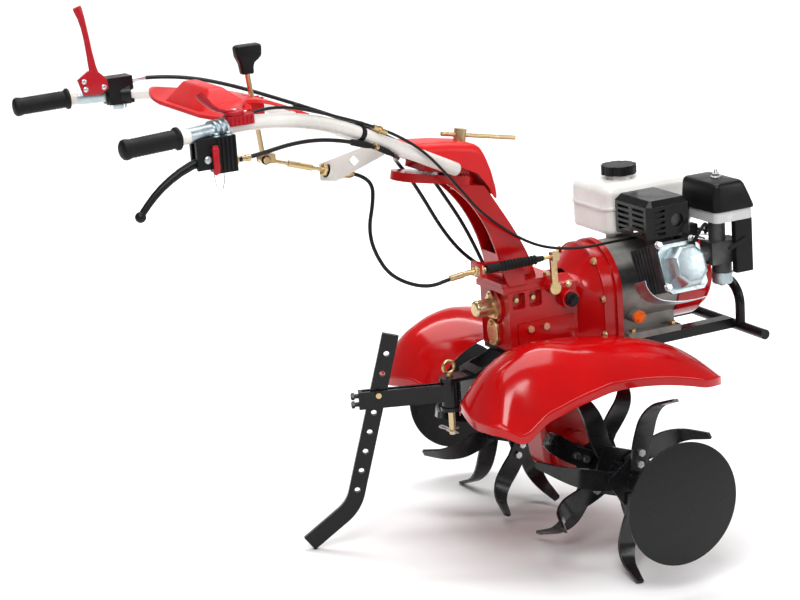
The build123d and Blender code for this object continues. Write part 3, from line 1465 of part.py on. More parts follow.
with BuildPart() as control_box:
    add(block(control_x, control_y, (control_bottom_z, cleaner_z[0])))
    fillet(control_box.edges().filter_by(Axis.Z), control_round)
    add(block((choke_x - control_round, choke_x + control_round), (control_y[1], carb_y[1]),
              (carb_z[0], carb_z[1])))
    add(block(carb_x, carb_y, carb_z), mode=Mode.SUBTRACT)
    with BuildSketch(Plane.XZ.offset(-control_y[0])):
        with Locations((choke_x, choke_z)):
            Circle(choke_pin_radius + run_fit)
    extrude(amount=control_y[0] - control_y[1] + 2 * control_round, mode=Mode.SUBTRACT)
write(control_box, "control_box")

with BuildPart() as choke_lever:
    with BuildSketch(Plane.XZ.offset(-control_y[0] + seat_gap)):
        with Locations(Pos(choke_x, choke_z) * Rot(0, 0, choke_turn)):
            SlotCenterPoint((choke_length / 2, 0), (choke_length, 0), choke_width)
    extrude(amount=choke_thickness)
    with BuildSketch(Plane.XZ.offset(-control_y[0] + seat_gap)):
        with Locations((choke_x, choke_z)):
            Circle(choke_pin_radius)
    extrude(amount=-(control_round + seat_gap))
write(choke_lever, "choke_lever")

# Fan shroud with the recoil starter in front, and the starter grip
with BuildPart() as fan_shroud:
    with BuildSketch(across(case_x[1])):
        with Locations((0, crank_z)):
            Circle(shroud_radius)
    extrude(amount=shroud_front_x - case_x[1])
    with BuildSketch(across(shroud_front_x)):
        with Locations((0, crank_z)):
            Circle(recoil_radius)
    extrude(amount=recoil_front_x - shroud_front_x)
    fillet(fan_shroud.faces().sort_by(Axis.X)[-1].edges(), recoil_round)
    with BuildSketch(across(case_x[1])):
        with Locations((0, crank_z)):
            Circle(shroud_radius - shroud_wall)
    extrude(amount=shroud_front_x - case_x[1] - shroud_wall, mode=Mode.SUBTRACT)
    with BuildSketch(across(shroud_front_x - shroud_wall)):
        with Locations((0, crank_z)):
            Circle(recoil_radius - recoil_round)
    extrude(amount=recoil_front_x - shroud_front_x, mode=Mode.SUBTRACT)
    with BuildSketch(across(recoil_front_x)):
        with Locations((0, crank_z)):
            with PolarLocations(recoil_slot_radius - recoil_slot_length / 2, recoil_slots,
                                start_angle=180 / recoil_slots):
                SlotOverall(recoil_slot_length, recoil_slot_width)
        with Locations((grip_y, grip_z)):
            Circle(rope_radius + free_gap)
    extrude(amount=-(shroud_wall + recoil_round), mode=Mode.SUBTRACT)
write(fan_shroud, "fan_shroud")

with BuildPart() as starter_grip:
    add(block((recoil_front_x + seat_gap, recoil_front_x + seat_gap + grip_depth),
              (grip_y - grip_half_length, grip_y + grip_half_length),
              (grip_z - grip_height / 2, grip_z + grip_height / 2)))
    fillet(starter_grip.edges(), grip_round)
    with BuildSketch(across(recoil_front_x - rope_length)):
        with Locations((grip_y, grip_z)):
            Circle(rope_radius)
    extrude(amount=rope_length + grip_depth / 2)
write(starter_grip, "starter_grip")

with BuildPart() as frame_bolts:
    hex_heads(column_bolt_seats + fender_bolt_seats + engine_bolt_seats + hitch_bolt_seats,
              frame_bolt_head, frame_bolt_height)
    hex_heads(pto_bolt_seats + oval_bolt_seats + pocket_bolt_seats + cover_bolt_seats,
              small_bolt_head, small_bolt_height)
write(frame_bolts, "frame_bolts")


# Grips on the ends of the tubes
def grip(side):
    """Closed grip with a flange, along the straight end of one tube."""
    tip = Vector(arm_points[-1][0], side * arm_points[-1][1], arm_points[-1][2])
    before = Vector(arm_points[-2][0], side * arm_points[-2][1], arm_points[-2][2])
    inward = (before - tip).normalized()
    end = Plane(tip - inward * grip_end, z_dir=inward)
    with BuildPart() as body:
        with BuildSketch(end) as face:
            Circle(grip_radius)
        extrude(face.sketch, amount=grip_length + grip_end)
        fillet(body.edges().sort_by(Axis(end.origin, end.z_dir))[0], grip_end)
        with BuildSketch(end.offset(grip_length + grip_end - grip_flange_length)) as ring:
            Circle(grip_flange_radius)
        extrude(ring.sketch, amount=grip_flange_length)
        with BuildSketch(end.offset(grip_end)) as bore:
            Circle(arm_radius + run_fit)
        extrude(bore.sketch, amount=grip_length, mode=Mode.SUBTRACT)
    return body


write(both_sides(grip), "grips")

# Console: bent sheet between the tubes with a slot for the shift lever
with BuildPart() as console:
    with BuildSketch(Plane.XZ):
        with BuildLine():
            Spline(*console_line)
        trace(line_width=console_sheet)
    extrude(amount=2 * console_plan[1][1], both=True)
    with BuildSketch(Plane.XY):
        with BuildLine():
            Polyline(*console_plan, (console_slot_x, console_slot_half), (console_slot_x, 0),
                     (console_plan[0][0], 0))
        make_face()
        mirror(about=Plane.XZ)
    extrude(amount=2 * shift_pivot_z, mode=Mode.INTERSECT)
    for hand in (-1, 1):
        ear_y = (hand * ear_gap, hand * (ear_gap + ear_thickness))
        add(block((shift_pivot_x - ear_half_length, shift_pivot_x + ear_half_length),
                  (min(ear_y), max(ear_y)), ear_z))
    with BuildSketch(Plane.XZ):
        with Locations((shift_pivot_x, shift_pivot_z)):
            Circle(shift_pin_radius + run_fit)
    extrude(amount=2 * ear_gap, both=True, mode=Mode.SUBTRACT)
    for solid in arm_solids:
        add(solid, mode=Mode.SUBTRACT)
write(console, "console")


def side_line(start, end):
    """Plane at a side view point, facing along the way to another side view point."""
    way = Vector(end[0] - start[0], 0, end[1] - start[1])
    return Plane((start[0], 0, start[1]), x_dir=(0, 1, 0), z_dir=way), way.length


# Shift lever with its knob
lever_plane, lever_length = side_line(shift_low, shift_high)
with BuildPart() as knob_top:
    with Locations((shift_high[0] + knob_round, 0, shift_high[1] + knob_stem[2] + knob_head[2] / 2)):
        Box(2 * knob_head[0], 2 * knob_head[1], knob_head[2])
    fillet(knob_top.edges(), knob_round)

with BuildPart() as shift_lever:
    with BuildSketch(lever_plane):
        Circle(shift_rod_radius)
    extrude(amount=lever_length)
    with BuildSketch(Plane.XZ):
        with Locations((shift_pivot_x, shift_pivot_z)):
            Circle(shift_hub_radius)
    extrude(amount=ear_gap - seat_gap, both=True)
    with BuildSketch(Plane.XZ):
        with Locations((shift_pivot_x, shift_pivot_z)):
            Circle(shift_pin_radius)
    extrude(amount=ear_gap + ear_thickness, both=True)
    with BuildSketch(Plane.XZ):
        with Locations(shift_low):
            Circle(eye_radius)
    extrude(amount=eye_half_width, both=True)
    with BuildSketch(Plane.XZ):
        with Locations(shift_low):
            Circle(shift_pin_radius)
    extrude(amount=eye_half_width + seat_gap + fork_cheek, both=True)
    with Locations((shift_high[0], 0, shift_high[1] + knob_stem[2] / 2)):
        Box(2 * knob_stem[0], 2 * knob_stem[1], knob_stem[2])
    add(knob_top.part)
write(shift_lever, "shift_lever")

link_plane, link_length = side_line(shift_low, link_end)
with BuildPart() as shift_link:
    for hand in (-1, 1):
        with BuildSketch(Plane.XZ.offset(-hand * (eye_half_width + seat_gap))):
            with Locations(shift_low):
                Circle(eye_radius)
            with Locations((shift_low[0] + eye_radius, shift_low[1])):
                Rectangle(2 * eye_radius, 2 * eye_radius - seat_gap)
        extrude(amount=-hand * fork_cheek)
    with BuildSketch(Plane.XZ):
        with Locations((shift_low[0] + 2 * eye_radius, shift_low[1])):
            Rectangle(eye_radius - 2 * free_gap, 2 * eye_radius - seat_gap)
    extrude(amount=eye_half_width + seat_gap + fork_cheek, both=True)
    with BuildSketch(Plane.XZ):
        with Locations(shift_low):
            Circle(shift_pin_radius + run_fit)
    extrude(amount=2 * eye_radius, both=True, mode=Mode.SUBTRACT)
    with BuildSketch(link_plane.offset(2 * eye_radius)):
        Circle(link_radius)
    extrude(amount=link_length - 2 * eye_radius)
write(shift_link, "shift_link")

# Bracket that guides the end of the link, hung from the right tube
sleeve_start = link_plane.offset(link_length * sleeve_at - sleeve_length / 2)
bracket_plane = Plane((sleeve_start.origin.X, 0, 0),
                      x_dir=(cos(radians(bracket_turn)), sin(radians(bracket_turn)), 0),
                      z_dir=(sin(radians(bracket_turn)), -cos(radians(bracket_turn)), 0))
with BuildPart() as shift_bracket:
    with BuildSketch(bracket_plane):
        with BuildLine():
            Polyline(*bracket_outline, close=True)
        make_face()
        with Locations(bracket_hole_at):
            Rectangle(bracket_hole, bracket_hole, rotation=45, mode=Mode.SUBTRACT)
    extrude(amount=bracket_thickness / 2, both=True)
    with BuildSketch(sleeve_start):
        Circle(sleeve_radius)
    extrude(amount=sleeve_length)
    with BuildSketch(link_plane):
        Circle(sleeve_bore)
    extrude(amount=2 * link_length, mode=Mode.SUBTRACT)
    add(arm_solids[1], mode=Mode.SUBTRACT)
write(shift_bracket, "shift_bracket")

with BuildPart() as selector_arm:
    with BuildSketch(Plane.XZ.offset(side_boss_y + seat_gap)):
        with Locations((selector_x, selector_z)):
            Circle(selector_hub_radius)
    extrude(amount=-selector_arm_y[0] - side_boss_y - seat_gap)
    with BuildSketch(Plane.XZ.offset(-selector_arm_y[1])):
        with BuildLine():
            Line((selector_x, selector_z), (selector_block_x, shift_end_z))
        trace(line_width=selector_arm_width)
    extrude(amount=selector_arm_y[1] - selector_arm_y[0])
    with BuildSketch(Plane.XZ.offset(side_boss_y + seat_gap)):
        with Locations((selector_x, selector_z)):
            Circle(selector_shaft_radius)
    extrude(amount=-(side_hole_depth - 2 * seat_gap))
    with Locations((selector_block_x, shift_end_y, shift_end_z)):
        Box(2 * selector_block_half, 2 * selector_block_half, 2 * selector_block_half)
    with BuildSketch(across(selector_block_x)):
        with Locations((shift_end_y, shift_end_z)):
            Circle(selector_rod_radius)
    extrude(amount=selector_rod_end_x - selector_block_x)
write(selector_arm, "selector_arm")

with BuildPart() as clutch_fork:
    with BuildSketch(Plane.XZ.offset(-gearbox_half_width - seat_gap)):
        with Locations((fork_x, fork_z)):
            Circle(fork_hub_radius)
    extrude(amount=-(fork_arm_y[1] - gearbox_half_width - seat_gap))
    with BuildSketch(Plane.XZ.offset(-fork_arm_y[0])):
        with BuildLine():
            Line((fork_x, fork_z), fork_end)
        trace(line_width=fork_arm_width)
    extrude(amount=-(fork_arm_y[1] - fork_arm_y[0]))
    with BuildSketch(Plane.XZ.offset(-gearbox_half_width - seat_gap)):
        with Locations((fork_x, fork_z)):
            Circle(fork_shaft_radius)
    extrude(amount=side_hole_depth - 2 * seat_gap - free_gap)
write(clutch_fork, "clutch_fork")

# Perches of the clutch lever and of the reverse lever
with BuildPart() as clutch_perch:
    add(block(clutch_body_x, (clutch_ear_y[0], clutch_inner_y[1]), clutch_body_z))
    add(block(clutch_ear_x, clutch_ear_y, clutch_ear_z))
    add(block(clutch_ear_x, clutch_inner_y, clutch_ear_z))
    with BuildSketch(across(clutch_body_x[1])):
        with Locations((clutch_cable_points[0][1], clutch_barrel_z)):
            Circle(clutch_barrel_radius)
    extrude(amount=clutch_barrel_length)
    with BuildSketch(Plane.XZ.offset(-clutch_y)):
        with Locations(clutch_pivot):
            Circle(clutch_pin_radius + run_fit)
    extrude(amount=2 * clutch_hub_radius, both=True, mode=Mode.SUBTRACT)
    with BuildSketch(Plane.XZ.offset(-clutch_ear_y[0])):
        with Locations((lock_x, lock_pivot_z)):
            Circle(lock_pin_radius + run_fit)
    extrude(amount=-(lock_pin_length + free_gap), mode=Mode.SUBTRACT)
    add(arm_solids[1], mode=Mode.SUBTRACT)

with BuildPart() as reverse_perch:
    add(block(reverse_body_x, reverse_body_y, reverse_body_z))
    add(block((reverse_ear_x, reverse_body_x[0]), (reverse_body_y[0], reverse_body_y[0] + reverse_ear_thickness),
              reverse_ear_z))
    with BuildSketch(Plane.XZ.offset(-reverse_body_y[0])):
        with Locations(reverse_pivot):
            Circle(reverse_pin_radius + run_fit)
    extrude(amount=-reverse_ear_thickness, mode=Mode.SUBTRACT)
    add(arm_solids[0], mode=Mode.SUBTRACT)

with BuildPart() as lever_perches:
    add(clutch_perch.part)
    add(reverse_perch.part)
write(lever_perches, "lever_perches")

with BuildPart() as clutch_lever:
    with BuildSketch(Plane.XZ.offset(-clutch_y)):
        with BuildLine():
            ThreePointArc(*clutch_arc)
        trace(line_width=clutch_lever_width)
        with Locations(clutch_pivot):
            Circle(clutch_hub_radius)
        with Locations(clutch_arc[2]):
            Circle(clutch_ball_radius)
    extrude(amount=clutch_lever_thickness / 2, both=True)
    with BuildSketch(Plane.XZ.offset(-clutch_ear_y[1] - seat_gap)):
        with Locations(clutch_pivot):
            Circle(clutch_hub_radius)
    extrude(amount=-(clutch_inner_y[0] - clutch_ear_y[1] - 2 * seat_gap))
    with BuildSketch(Plane.XZ.offset(-clutch_ear_y[0])):
        with Locations(clutch_pivot):
            Circle(clutch_pin_radius)
    extrude(amount=-(clutch_inner_y[1] - clutch_ear_y[0]))
write(clutch_lever, "clutch_lever")

with BuildPart() as clutch_lock:
    with BuildSketch(Plane.XZ.offset(-clutch_ear_y[0] + seat_gap)):
        with Locations((lock_x, middle(lock_z))):
            RectangleRounded(lock_width, lock_z[1] - lock_z[0], lock_thickness)
    extrude(amount=lock_thickness)
    with BuildSketch(Plane.XZ.offset(-clutch_ear_y[0] + seat_gap)):
        with Locations((lock_x, lock_pivot_z)):
            Circle(lock_pin_radius)
    extrude(amount=-lock_pin_length)
write(clutch_lock, "clutch_lock")

with BuildPart() as throttle_perch:
    add(block(throttle_body_x, throttle_body_y, throttle_body_z))
    fillet(throttle_perch.edges().filter_by(Axis.Z), lock_width)
    with BuildSketch(Plane.XY.offset(throttle_body_z[1])):
        with Locations((throttle_x, throttle_y)):
            Circle(throttle_pin_radius + run_fit)
    extrude(amount=-(throttle_pin_length + free_gap), mode=Mode.SUBTRACT)
    add(arm_solids[1], mode=Mode.SUBTRACT)
write(throttle_perch, "throttle_perch")

with BuildPart() as throttle_lever:
    with BuildSketch(Plane.XY.offset(throttle_body_z[1] + seat_gap)):
        with Locations((throttle_x, throttle_y)):
            Circle(throttle_hub_radius)
    extrude(amount=throttle_hub_height)
    with BuildSketch(Plane.XZ.offset(-throttle_y)):
        with BuildLine():
            Spline(*throttle_arm)
        trace(line_width=throttle_arm_thickness)
    extrude(amount=throttle_arm_width / 2, both=True)
    with BuildSketch(Plane.XY.offset(throttle_body_z[1] + seat_gap)):
        with Locations((throttle_x, throttle_y)):
            Circle(throttle_pin_radius)
    extrude(amount=-throttle_pin_length)
write(throttle_lever, "throttle_lever")

with BuildPart() as reverse_lever:
    with BuildSketch(Plane.XZ.offset(-reverse_body_y[0] + seat_gap)):
        with BuildLine():
            Polyline(*reverse_plate, close=True)
        make_face()
        with BuildLine():
            Spline(*reverse_line)
        trace(line_width=reverse_line_width)
    extrude(amount=reverse_lever_thickness)
    with BuildSketch(Plane.XZ.offset(-reverse_body_y[0] + seat_gap)):
        with Locations(reverse_pivot):
            Circle(reverse_pin_radius)
    extrude(amount=-(reverse_ear_thickness - free_gap))
write(reverse_lever, "reverse_lever")


# Cables, each swept along straight runs joined by arcs
def cable(points, bends, radius):
    """Round cable along a route of points with rounded corners."""
    with BuildLine() as route:
        FilletPolyline(*points, radius=list(bends))
    with BuildPart() as strand:
        with BuildSketch(Plane(origin=route.line @ 0, z_dir=route.line % 0)) as section:
            Circle(radius)
        sweep(section.sketch, path=route.line)
    return strand


with BuildPart() as shift_cable:
    add(cable(shift_cable_points, shift_cable_bends, cable_radius).part)
    with BuildSketch(across(adjuster_x[0])):
        with Locations((shift_end_y, shift_end_z)):
            Circle(adjuster_radius)
    extrude(amount=adjuster_x[1] - adjuster_x[0])
write(shift_cable, "shift_cable")

with BuildPart() as control_cables:
    add(cable(clutch_cable_points, clutch_cable_bends, cable_radius).part)
    add(cable(throttle_cable_points, throttle_cable_bends, throttle_cable_radius).part)
    add(cable(reverse_cable_points, reverse_cable_bends, cable_radius).part)
write(control_cables, "control_cables")

bellows_x = (adjuster_x[1] + seat_gap, selector_rod_end_x - seat_gap)
bellows_pitch = (bellows_x[1] - bellows_x[0]) / bellows_ribs
with BuildPart() as shift_bellows:
    ridge = [(bellows_x[0] + bellows_pitch * k / 2, shift_end_z + bellows_radii[k % 2])
             for k in range(2 * bellows_ribs + 1)]
    with BuildSketch(Plane.XZ.offset(-shift_end_y)):
        with BuildLine():
            Polyline((bellows_x[0], shift_end_z + selector_rod_radius + run_fit), *ridge,
                     (bellows_x[1], shift_end_z + selector_rod_radius + run_fit), close=True)
        make_face()
    revolve(axis=Axis((0, shift_end_y, shift_end_z), (1, 0, 0)))
write(shift_bellows, "shift_bellows")
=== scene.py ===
"""Finished look of the garden tiller: materials, cables, small parts, studio and camera."""
from math import cos, pi, radians, sin

import bmesh
import bpy
from mathutils import Matrix, Vector


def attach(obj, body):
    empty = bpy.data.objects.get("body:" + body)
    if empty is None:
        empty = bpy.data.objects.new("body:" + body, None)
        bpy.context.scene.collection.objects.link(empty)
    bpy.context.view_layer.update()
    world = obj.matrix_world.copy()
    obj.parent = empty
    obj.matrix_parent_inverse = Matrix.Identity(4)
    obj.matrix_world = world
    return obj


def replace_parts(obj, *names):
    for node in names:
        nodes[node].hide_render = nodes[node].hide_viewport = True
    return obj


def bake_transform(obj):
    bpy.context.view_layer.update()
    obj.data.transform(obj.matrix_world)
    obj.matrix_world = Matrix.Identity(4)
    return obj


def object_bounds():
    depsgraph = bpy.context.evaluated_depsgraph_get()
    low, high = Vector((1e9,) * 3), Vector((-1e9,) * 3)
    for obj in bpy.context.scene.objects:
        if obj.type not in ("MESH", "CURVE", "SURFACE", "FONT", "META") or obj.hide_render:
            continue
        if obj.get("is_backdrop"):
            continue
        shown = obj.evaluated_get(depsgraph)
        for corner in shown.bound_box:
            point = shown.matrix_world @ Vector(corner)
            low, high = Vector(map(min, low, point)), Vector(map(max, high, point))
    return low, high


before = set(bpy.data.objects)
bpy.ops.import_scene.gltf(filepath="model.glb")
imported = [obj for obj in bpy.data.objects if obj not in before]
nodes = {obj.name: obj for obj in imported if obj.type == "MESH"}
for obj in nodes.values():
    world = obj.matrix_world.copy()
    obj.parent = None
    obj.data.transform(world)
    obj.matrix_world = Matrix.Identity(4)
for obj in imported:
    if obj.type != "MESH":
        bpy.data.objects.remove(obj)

cad_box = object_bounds()

# The machine's own level frame: millimetres, axle at zero. A hand is 1 on the left and -1 on the right
AHEAD, LEFT, UP = Vector((1, 0, 0)), Vector((0, 1, 0)), Vector((0, 0, 1))
BACK, RIGHT, DOWN = -AHEAD, -LEFT, -UP
HANDS = (-1, 1)

# Stance: the level frame set on the ground
STANCE_TILT = radians(4.5)
AXLE_PLACE = Vector((0.3493, 0.0, 0.18864))
MM = 0.001
LEVEL = Matrix.Translation(AXLE_PLACE) @ Matrix.Rotation(-STANCE_TILT, 4, "Y") @ Matrix.Scale(MM, 4)

# The engine's cylinder leans: its axis leaves the crankshaft at the middle, to the right and up
CYLINDER_LEAN = radians(20)
CYLINDER_MIDDLE = Vector((200, 0, 335))
CYLINDER_AXIS = Vector((0, -cos(CYLINDER_LEAN), sin(CYLINDER_LEAN)))
CYLINDER_UP = Vector((0, sin(CYLINDER_LEAN), cos(CYLINDER_LEAN)))
CYLINDER_DARKENS = (0.090, 0.094)  # metres along the axis

# Edges look rounded by this much, and smooth faces meet below this angle
EDGE_ROUND = 0.0014
SMOOTH_ANGLE = radians(32)

# Enamel: how far its shade drifts, and how wide its edges are worn
SHADE_DRIFT = (0.88, 1.08)
WORN_EDGE = 0.0012

# Sockets of the Mix node's colour form
MIX_FIRST, MIX_SECOND, MIX_RESULT = 6, 7, 2


# Material parts
def new_material(name):
    """Empty node material with its shader."""
    material = bpy.data.materials.new(name)
    material.use_nodes = True
    tree = material.node_tree
    return material, tree, tree.nodes["Principled BSDF"]


def feed(tree, node, inputs):
    """Gives a node's inputs their links or values."""
    for key, value in inputs.items():
        if isinstance(value, bpy.types.NodeSocket):
            tree.links.new(value, node.inputs[key])
        else:
            node.inputs[key].default_value = value


def add_node(tree, kind, output, inputs, **settings):
    """New node with its inputs and settings; gives one of its outputs."""
    node = tree.nodes.new("ShaderNode" + kind)
    for name, value in settings.items():
        setattr(node, name, value)
    feed(tree, node, inputs)
    return node.outputs[output]


def place_of(tree):
    """Place on the surface in object space."""
    return add_node(tree, "TexCoord", "Object", {})


def noise(tree, scale, detail, roughness=0.5):
    """Noise in object space."""
    inputs = {"Vector": place_of(tree), "Scale": scale, "Detail": detail, "Roughness": roughness}
    return add_node(tree, "TexNoise", "Fac", inputs)


def ramp(tree, source, stops):
    """Colour ramp over a value."""
    node = tree.nodes.new("ShaderNodeValToRGB")
    feed(tree, node, {"Fac": source})
    elements = node.color_ramp.elements
    while len(elements) < len(stops):
        elements.new(1.0)
    for element, (position, colour) in zip(elements, stops):
        element.position = position
        element.color = (*colour, 1.0)
    return node.outputs["Color"]


def spread(tree, source, low=0.0, high=1.0, start=0.3, end=0.7):
    """Maps a value from start..end to low..high."""
    inputs = {"Value": source, "From Min": start, "From Max": end, "To Min": low, "To Max": high}
    return add_node(tree, "MapRange", "Result", inputs)


def multiply(tree, first, second):
    """Product of two values or numbers."""
    return add_node(tree, "Math", "Value", {0: first, 1: second}, operation="MULTIPLY")


def dot_product(tree, first, second):
    """Dot product of two directions or places."""
    return add_node(tree, "VectorMath", "Value", {0: first, 1: second}, operation="DOT_PRODUCT")


def mix(tree, share, first, second):
    """Mixes two colours by a value."""
    first, second = [(*c, 1.0) if isinstance(c, tuple) else c for c in (first, second)]
    inputs = {"Factor": share, MIX_FIRST: first, MIX_SECOND: second}
    return add_node(tree, "Mix", MIX_RESULT, inputs, data_type="RGBA")


def rounded_normal(tree, width):
    """Normal that turns over an edge as if it were rounded."""
    return add_node(tree, "Bevel", "Normal", {"Radius": width}, samples=4)


def edge_mask(tree, width):
    """Near 1 where an edge is close, from how a rounded normal leaves the true one."""
    true_normal = add_node(tree, "NewGeometry", "Normal", {})
    product = dot_product(tree, rounded_normal(tree, width), true_normal)
    return spread(tree, product, low=1.0, high=0.0, start=0.75, end=0.97)


def bump(tree, height, strength, distance, rounding=EDGE_ROUND):
    """Normal of a fine relief from a value, over edges that look rounded."""
    inputs = {"Height": height, "Strength": strength, "Distance": distance,
              "Normal": rounded_normal(tree, rounding)}
    return add_node(tree, "Bump", "Normal", inputs)


# Finishes
def enamel(name, colour, worn, roughness=(0.2, 0.3), wear=0.5, coat=0.2, gloss=0.4):
    """Sprayed enamel: slow colour drift, fine orange peel, thin worn edges."""
    material, tree, shader = new_material(name)
    low, high = [tuple(min(1.0, drift * c) for c in colour) for drift in SHADE_DRIFT]
    shade = ramp(tree, noise(tree, scale=9.0, detail=3.0), ((0.3, low), (0.7, high)))
    patches = spread(tree, noise(tree, scale=60.0, detail=5.0), start=0.52, end=0.66)
    chipped = multiply(tree, multiply(tree, edge_mask(tree, WORN_EDGE), patches), wear)
    feed(tree, shader, {
        "Base Color": mix(tree, chipped, shade, worn),
        "Roughness": spread(tree, noise(tree, scale=22.0, detail=5.0), *roughness),
        "Specular IOR Level": gloss, "Coat Weight": coat, "Coat Roughness": 0.08,
        "Normal": bump(tree, noise(tree, scale=420.0, detail=2.0), strength=0.04, distance=0.0004)})
    return material


def plating(name, tints, roughness=(0.24, 0.4)):
    """Plated or bright metal: tint that wanders over the surface, fine scratches."""
    material, tree, shader = new_material(name)
    wander = noise(tree, scale=34.0, detail=5.0, roughness=0.6)
    stops = [(0.3 + 0.4 * k / (len(tints) - 1), tint) for k, tint in enumerate(tints)]
    scratches = noise(tree, scale=160.0, detail=6.0)
    feed(tree, shader, {
        "Metallic": 1.0, "Base Color": ramp(tree, wander, stops),
        "Roughness": spread(tree, scratches, *roughness),
        "Normal": bump(tree, scratches, strength=0.06, distance=0.0003, rounding=EDGE_ROUND / 2)})
    return material


def casting(name, colour, dark, metallic, roughness=(0.4, 0.6)):
    """Raw casting with a sandy skin and grime in the pores; gives its nodes too."""
    material, tree, shader = new_material(name)
    skin = noise(tree, scale=260.0, detail=6.0, roughness=0.65)
    shade = ramp(tree, noise(tree, scale=24.0, detail=6.0), ((0.32, dark), (0.68, colour)))
    feed(tree, shader, {
        "Metallic": metallic, "Base Color": shade, "Roughness": spread(tree, skin, *roughness),
        "Normal": bump(tree, skin, strength=0.22, distance=0.0006)})
    return material, tree, shader, shade


def moulding(name, colour, roughness=(0.38, 0.52), grain=900.0, relief=0.12, gloss=0.3):
    """Moulded plastic or rubber with a fine texture and dull scuffs."""
    material, tree, shader = new_material(name)
    scratched = noise(tree, scale=42.0, detail=6.0, roughness=0.65)
    scuffs = spread(tree, scratched, start=0.55, end=0.75)
    lighter = tuple(min(1.0, c * 1.25 + 0.002) for c in colour)
    feed(tree, shader, {
        "Base Color": mix(tree, scuffs, colour, lighter), "Specular IOR Level": gloss,
        "Roughness": spread(tree, noise(tree, scale=30.0, detail=4.0), *roughness),
        "Normal": bump(tree, noise(tree, grain, detail=2.0), relief, distance=0.0003)})
    return material


def engine_casting():
    """Grey crankcase whose finned cylinder, on the right of the engine, is dark."""
    material, tree, shader, shade = casting("engine_casting", (0.30, 0.29, 0.27), (0.17, 0.165, 0.155), 0.35)
    axis = LEVEL.to_3x3().normalized() @ CYLINDER_AXIS
    middle = (LEVEL @ CYLINDER_MIDDLE).dot(axis)
    start, end = [middle + far for far in CYLINDER_DARKENS]
    share = spread(tree, dot_product(tree, place_of(tree), axis), start=start, end=end)
    # Near-black tone laid over the finned cylinder, past a set distance along its axis
    cylinder_dark_stops = ((0.3, (0.018, 0.018, 0.019)), (0.7, (0.05, 0.05, 0.052)))
    cylinder_dark = ramp(tree, noise(tree, scale=30.0, detail=5.0), cylinder_dark_stops)
    feed(tree, shader, {"Base Color": mix(tree, share, shade, cylinder_dark)})
    return material


RED, WORN_RED = (0.46, 0.002, 0.003), (0.26, 0.02, 0.02)
# Red of the castings, stay and tabs: the enamel red painted darker, as painted shade on their upright faces
SHADED_RED, WORN_SHADED_RED = (0.40, 0.002, 0.003), (0.20, 0.02, 0.02)
MOULDED_RED, SCUFFED_RED = (0.62, 0.007, 0.009), (0.60, 0.05, 0.05)
WHITE, WORN_WHITE = (0.74, 0.71, 0.67), (0.46, 0.45, 0.42)
TANK_WHITE, WORN_TANK_WHITE = (0.80, 0.79, 0.76), (0.6, 0.6, 0.58)
BLACK, BARE_STEEL = (0.006, 0.006, 0.007), (0.40, 0.39, 0.37)
RUBBER_BLACK = (0.006, 0.006, 0.006)
ZINC_TINTS = ((0.50, 0.33, 0.13), (0.66, 0.50, 0.24), (0.57, 0.43, 0.26), (0.72, 0.58, 0.34))
STEEL_TINTS = ((0.48, 0.49, 0.51), (0.66, 0.67, 0.69), (0.56, 0.57, 0.59))
ALLOY_TINTS = ((0.36, 0.43, 0.46), (0.50, 0.58, 0.61), (0.43, 0.51, 0.54))
DARK_STEEL_TINTS = ((0.05, 0.05, 0.052), (0.10, 0.10, 0.10), (0.07, 0.065, 0.06))

red_paint = enamel("red_enamel", RED, WORN_RED, (0.10, 0.18), wear=0.25, coat=0.05, gloss=0.36)
# The same red enamel painted darker as painted shade, for the castings
red_shaded = enamel("red_shaded", SHADED_RED, WORN_SHADED_RED, (0.14, 0.24), wear=0.3, coat=0.05, gloss=0.36)
red_moulded = enamel("red_moulded", MOULDED_RED, SCUFFED_RED, (0.3, 0.42), wear=0.12, coat=0.0, gloss=0.35)
white_paint = enamel("white_enamel", WHITE, WORN_WHITE, wear=0.3)
tank_white = enamel("tank_white", TANK_WHITE, WORN_TANK_WHITE, (0.18, 0.28), wear=0.1)
black_paint = enamel("black_enamel", BLACK, BARE_STEEL, (0.2, 0.32), wear=0.35, coat=0.0, gloss=0.26)
tine_black = enamel("tine_black", BLACK, BARE_STEEL, (0.2, 0.34), wear=0.6, coat=0.1, gloss=0.45)
zinc = plating("yellow_zinc", ZINC_TINTS)
bright_steel = plating("bright_steel", STEEL_TINTS)
bright_alloy = plating("bright_alloy", ALLOY_TINTS, (0.34, 0.5))
dark_steel = plating("dark_steel", DARK_STEEL_TINTS, (0.35, 0.55))
engine_grey = engine_casting()
cast_alloy = casting("cast_alloy", (0.12, 0.12, 0.122), (0.05, 0.05, 0.052), 0.5)[0]
rubber = moulding("rubber", RUBBER_BLACK, (0.46, 0.64), grain=700.0, relief=0.2, gloss=0.2)
cable_black = moulding("cable_black", BLACK, (0.28, 0.42), grain=500.0, relief=0.08, gloss=0.25)
black_plastic = moulding("black_plastic", BLACK, (0.3, 0.44), gloss=0.22)
grey_plastic = moulding("grey_plastic", (0.56, 0.56, 0.56), (0.4, 0.55))
red_plastic = moulding("red_plastic", (0.40, 0.008, 0.016), (0.26, 0.38), relief=0.05)
orange_plastic = moulding("orange_plastic", (0.80, 0.14, 0.008), (0.3, 0.42), relief=0.05)

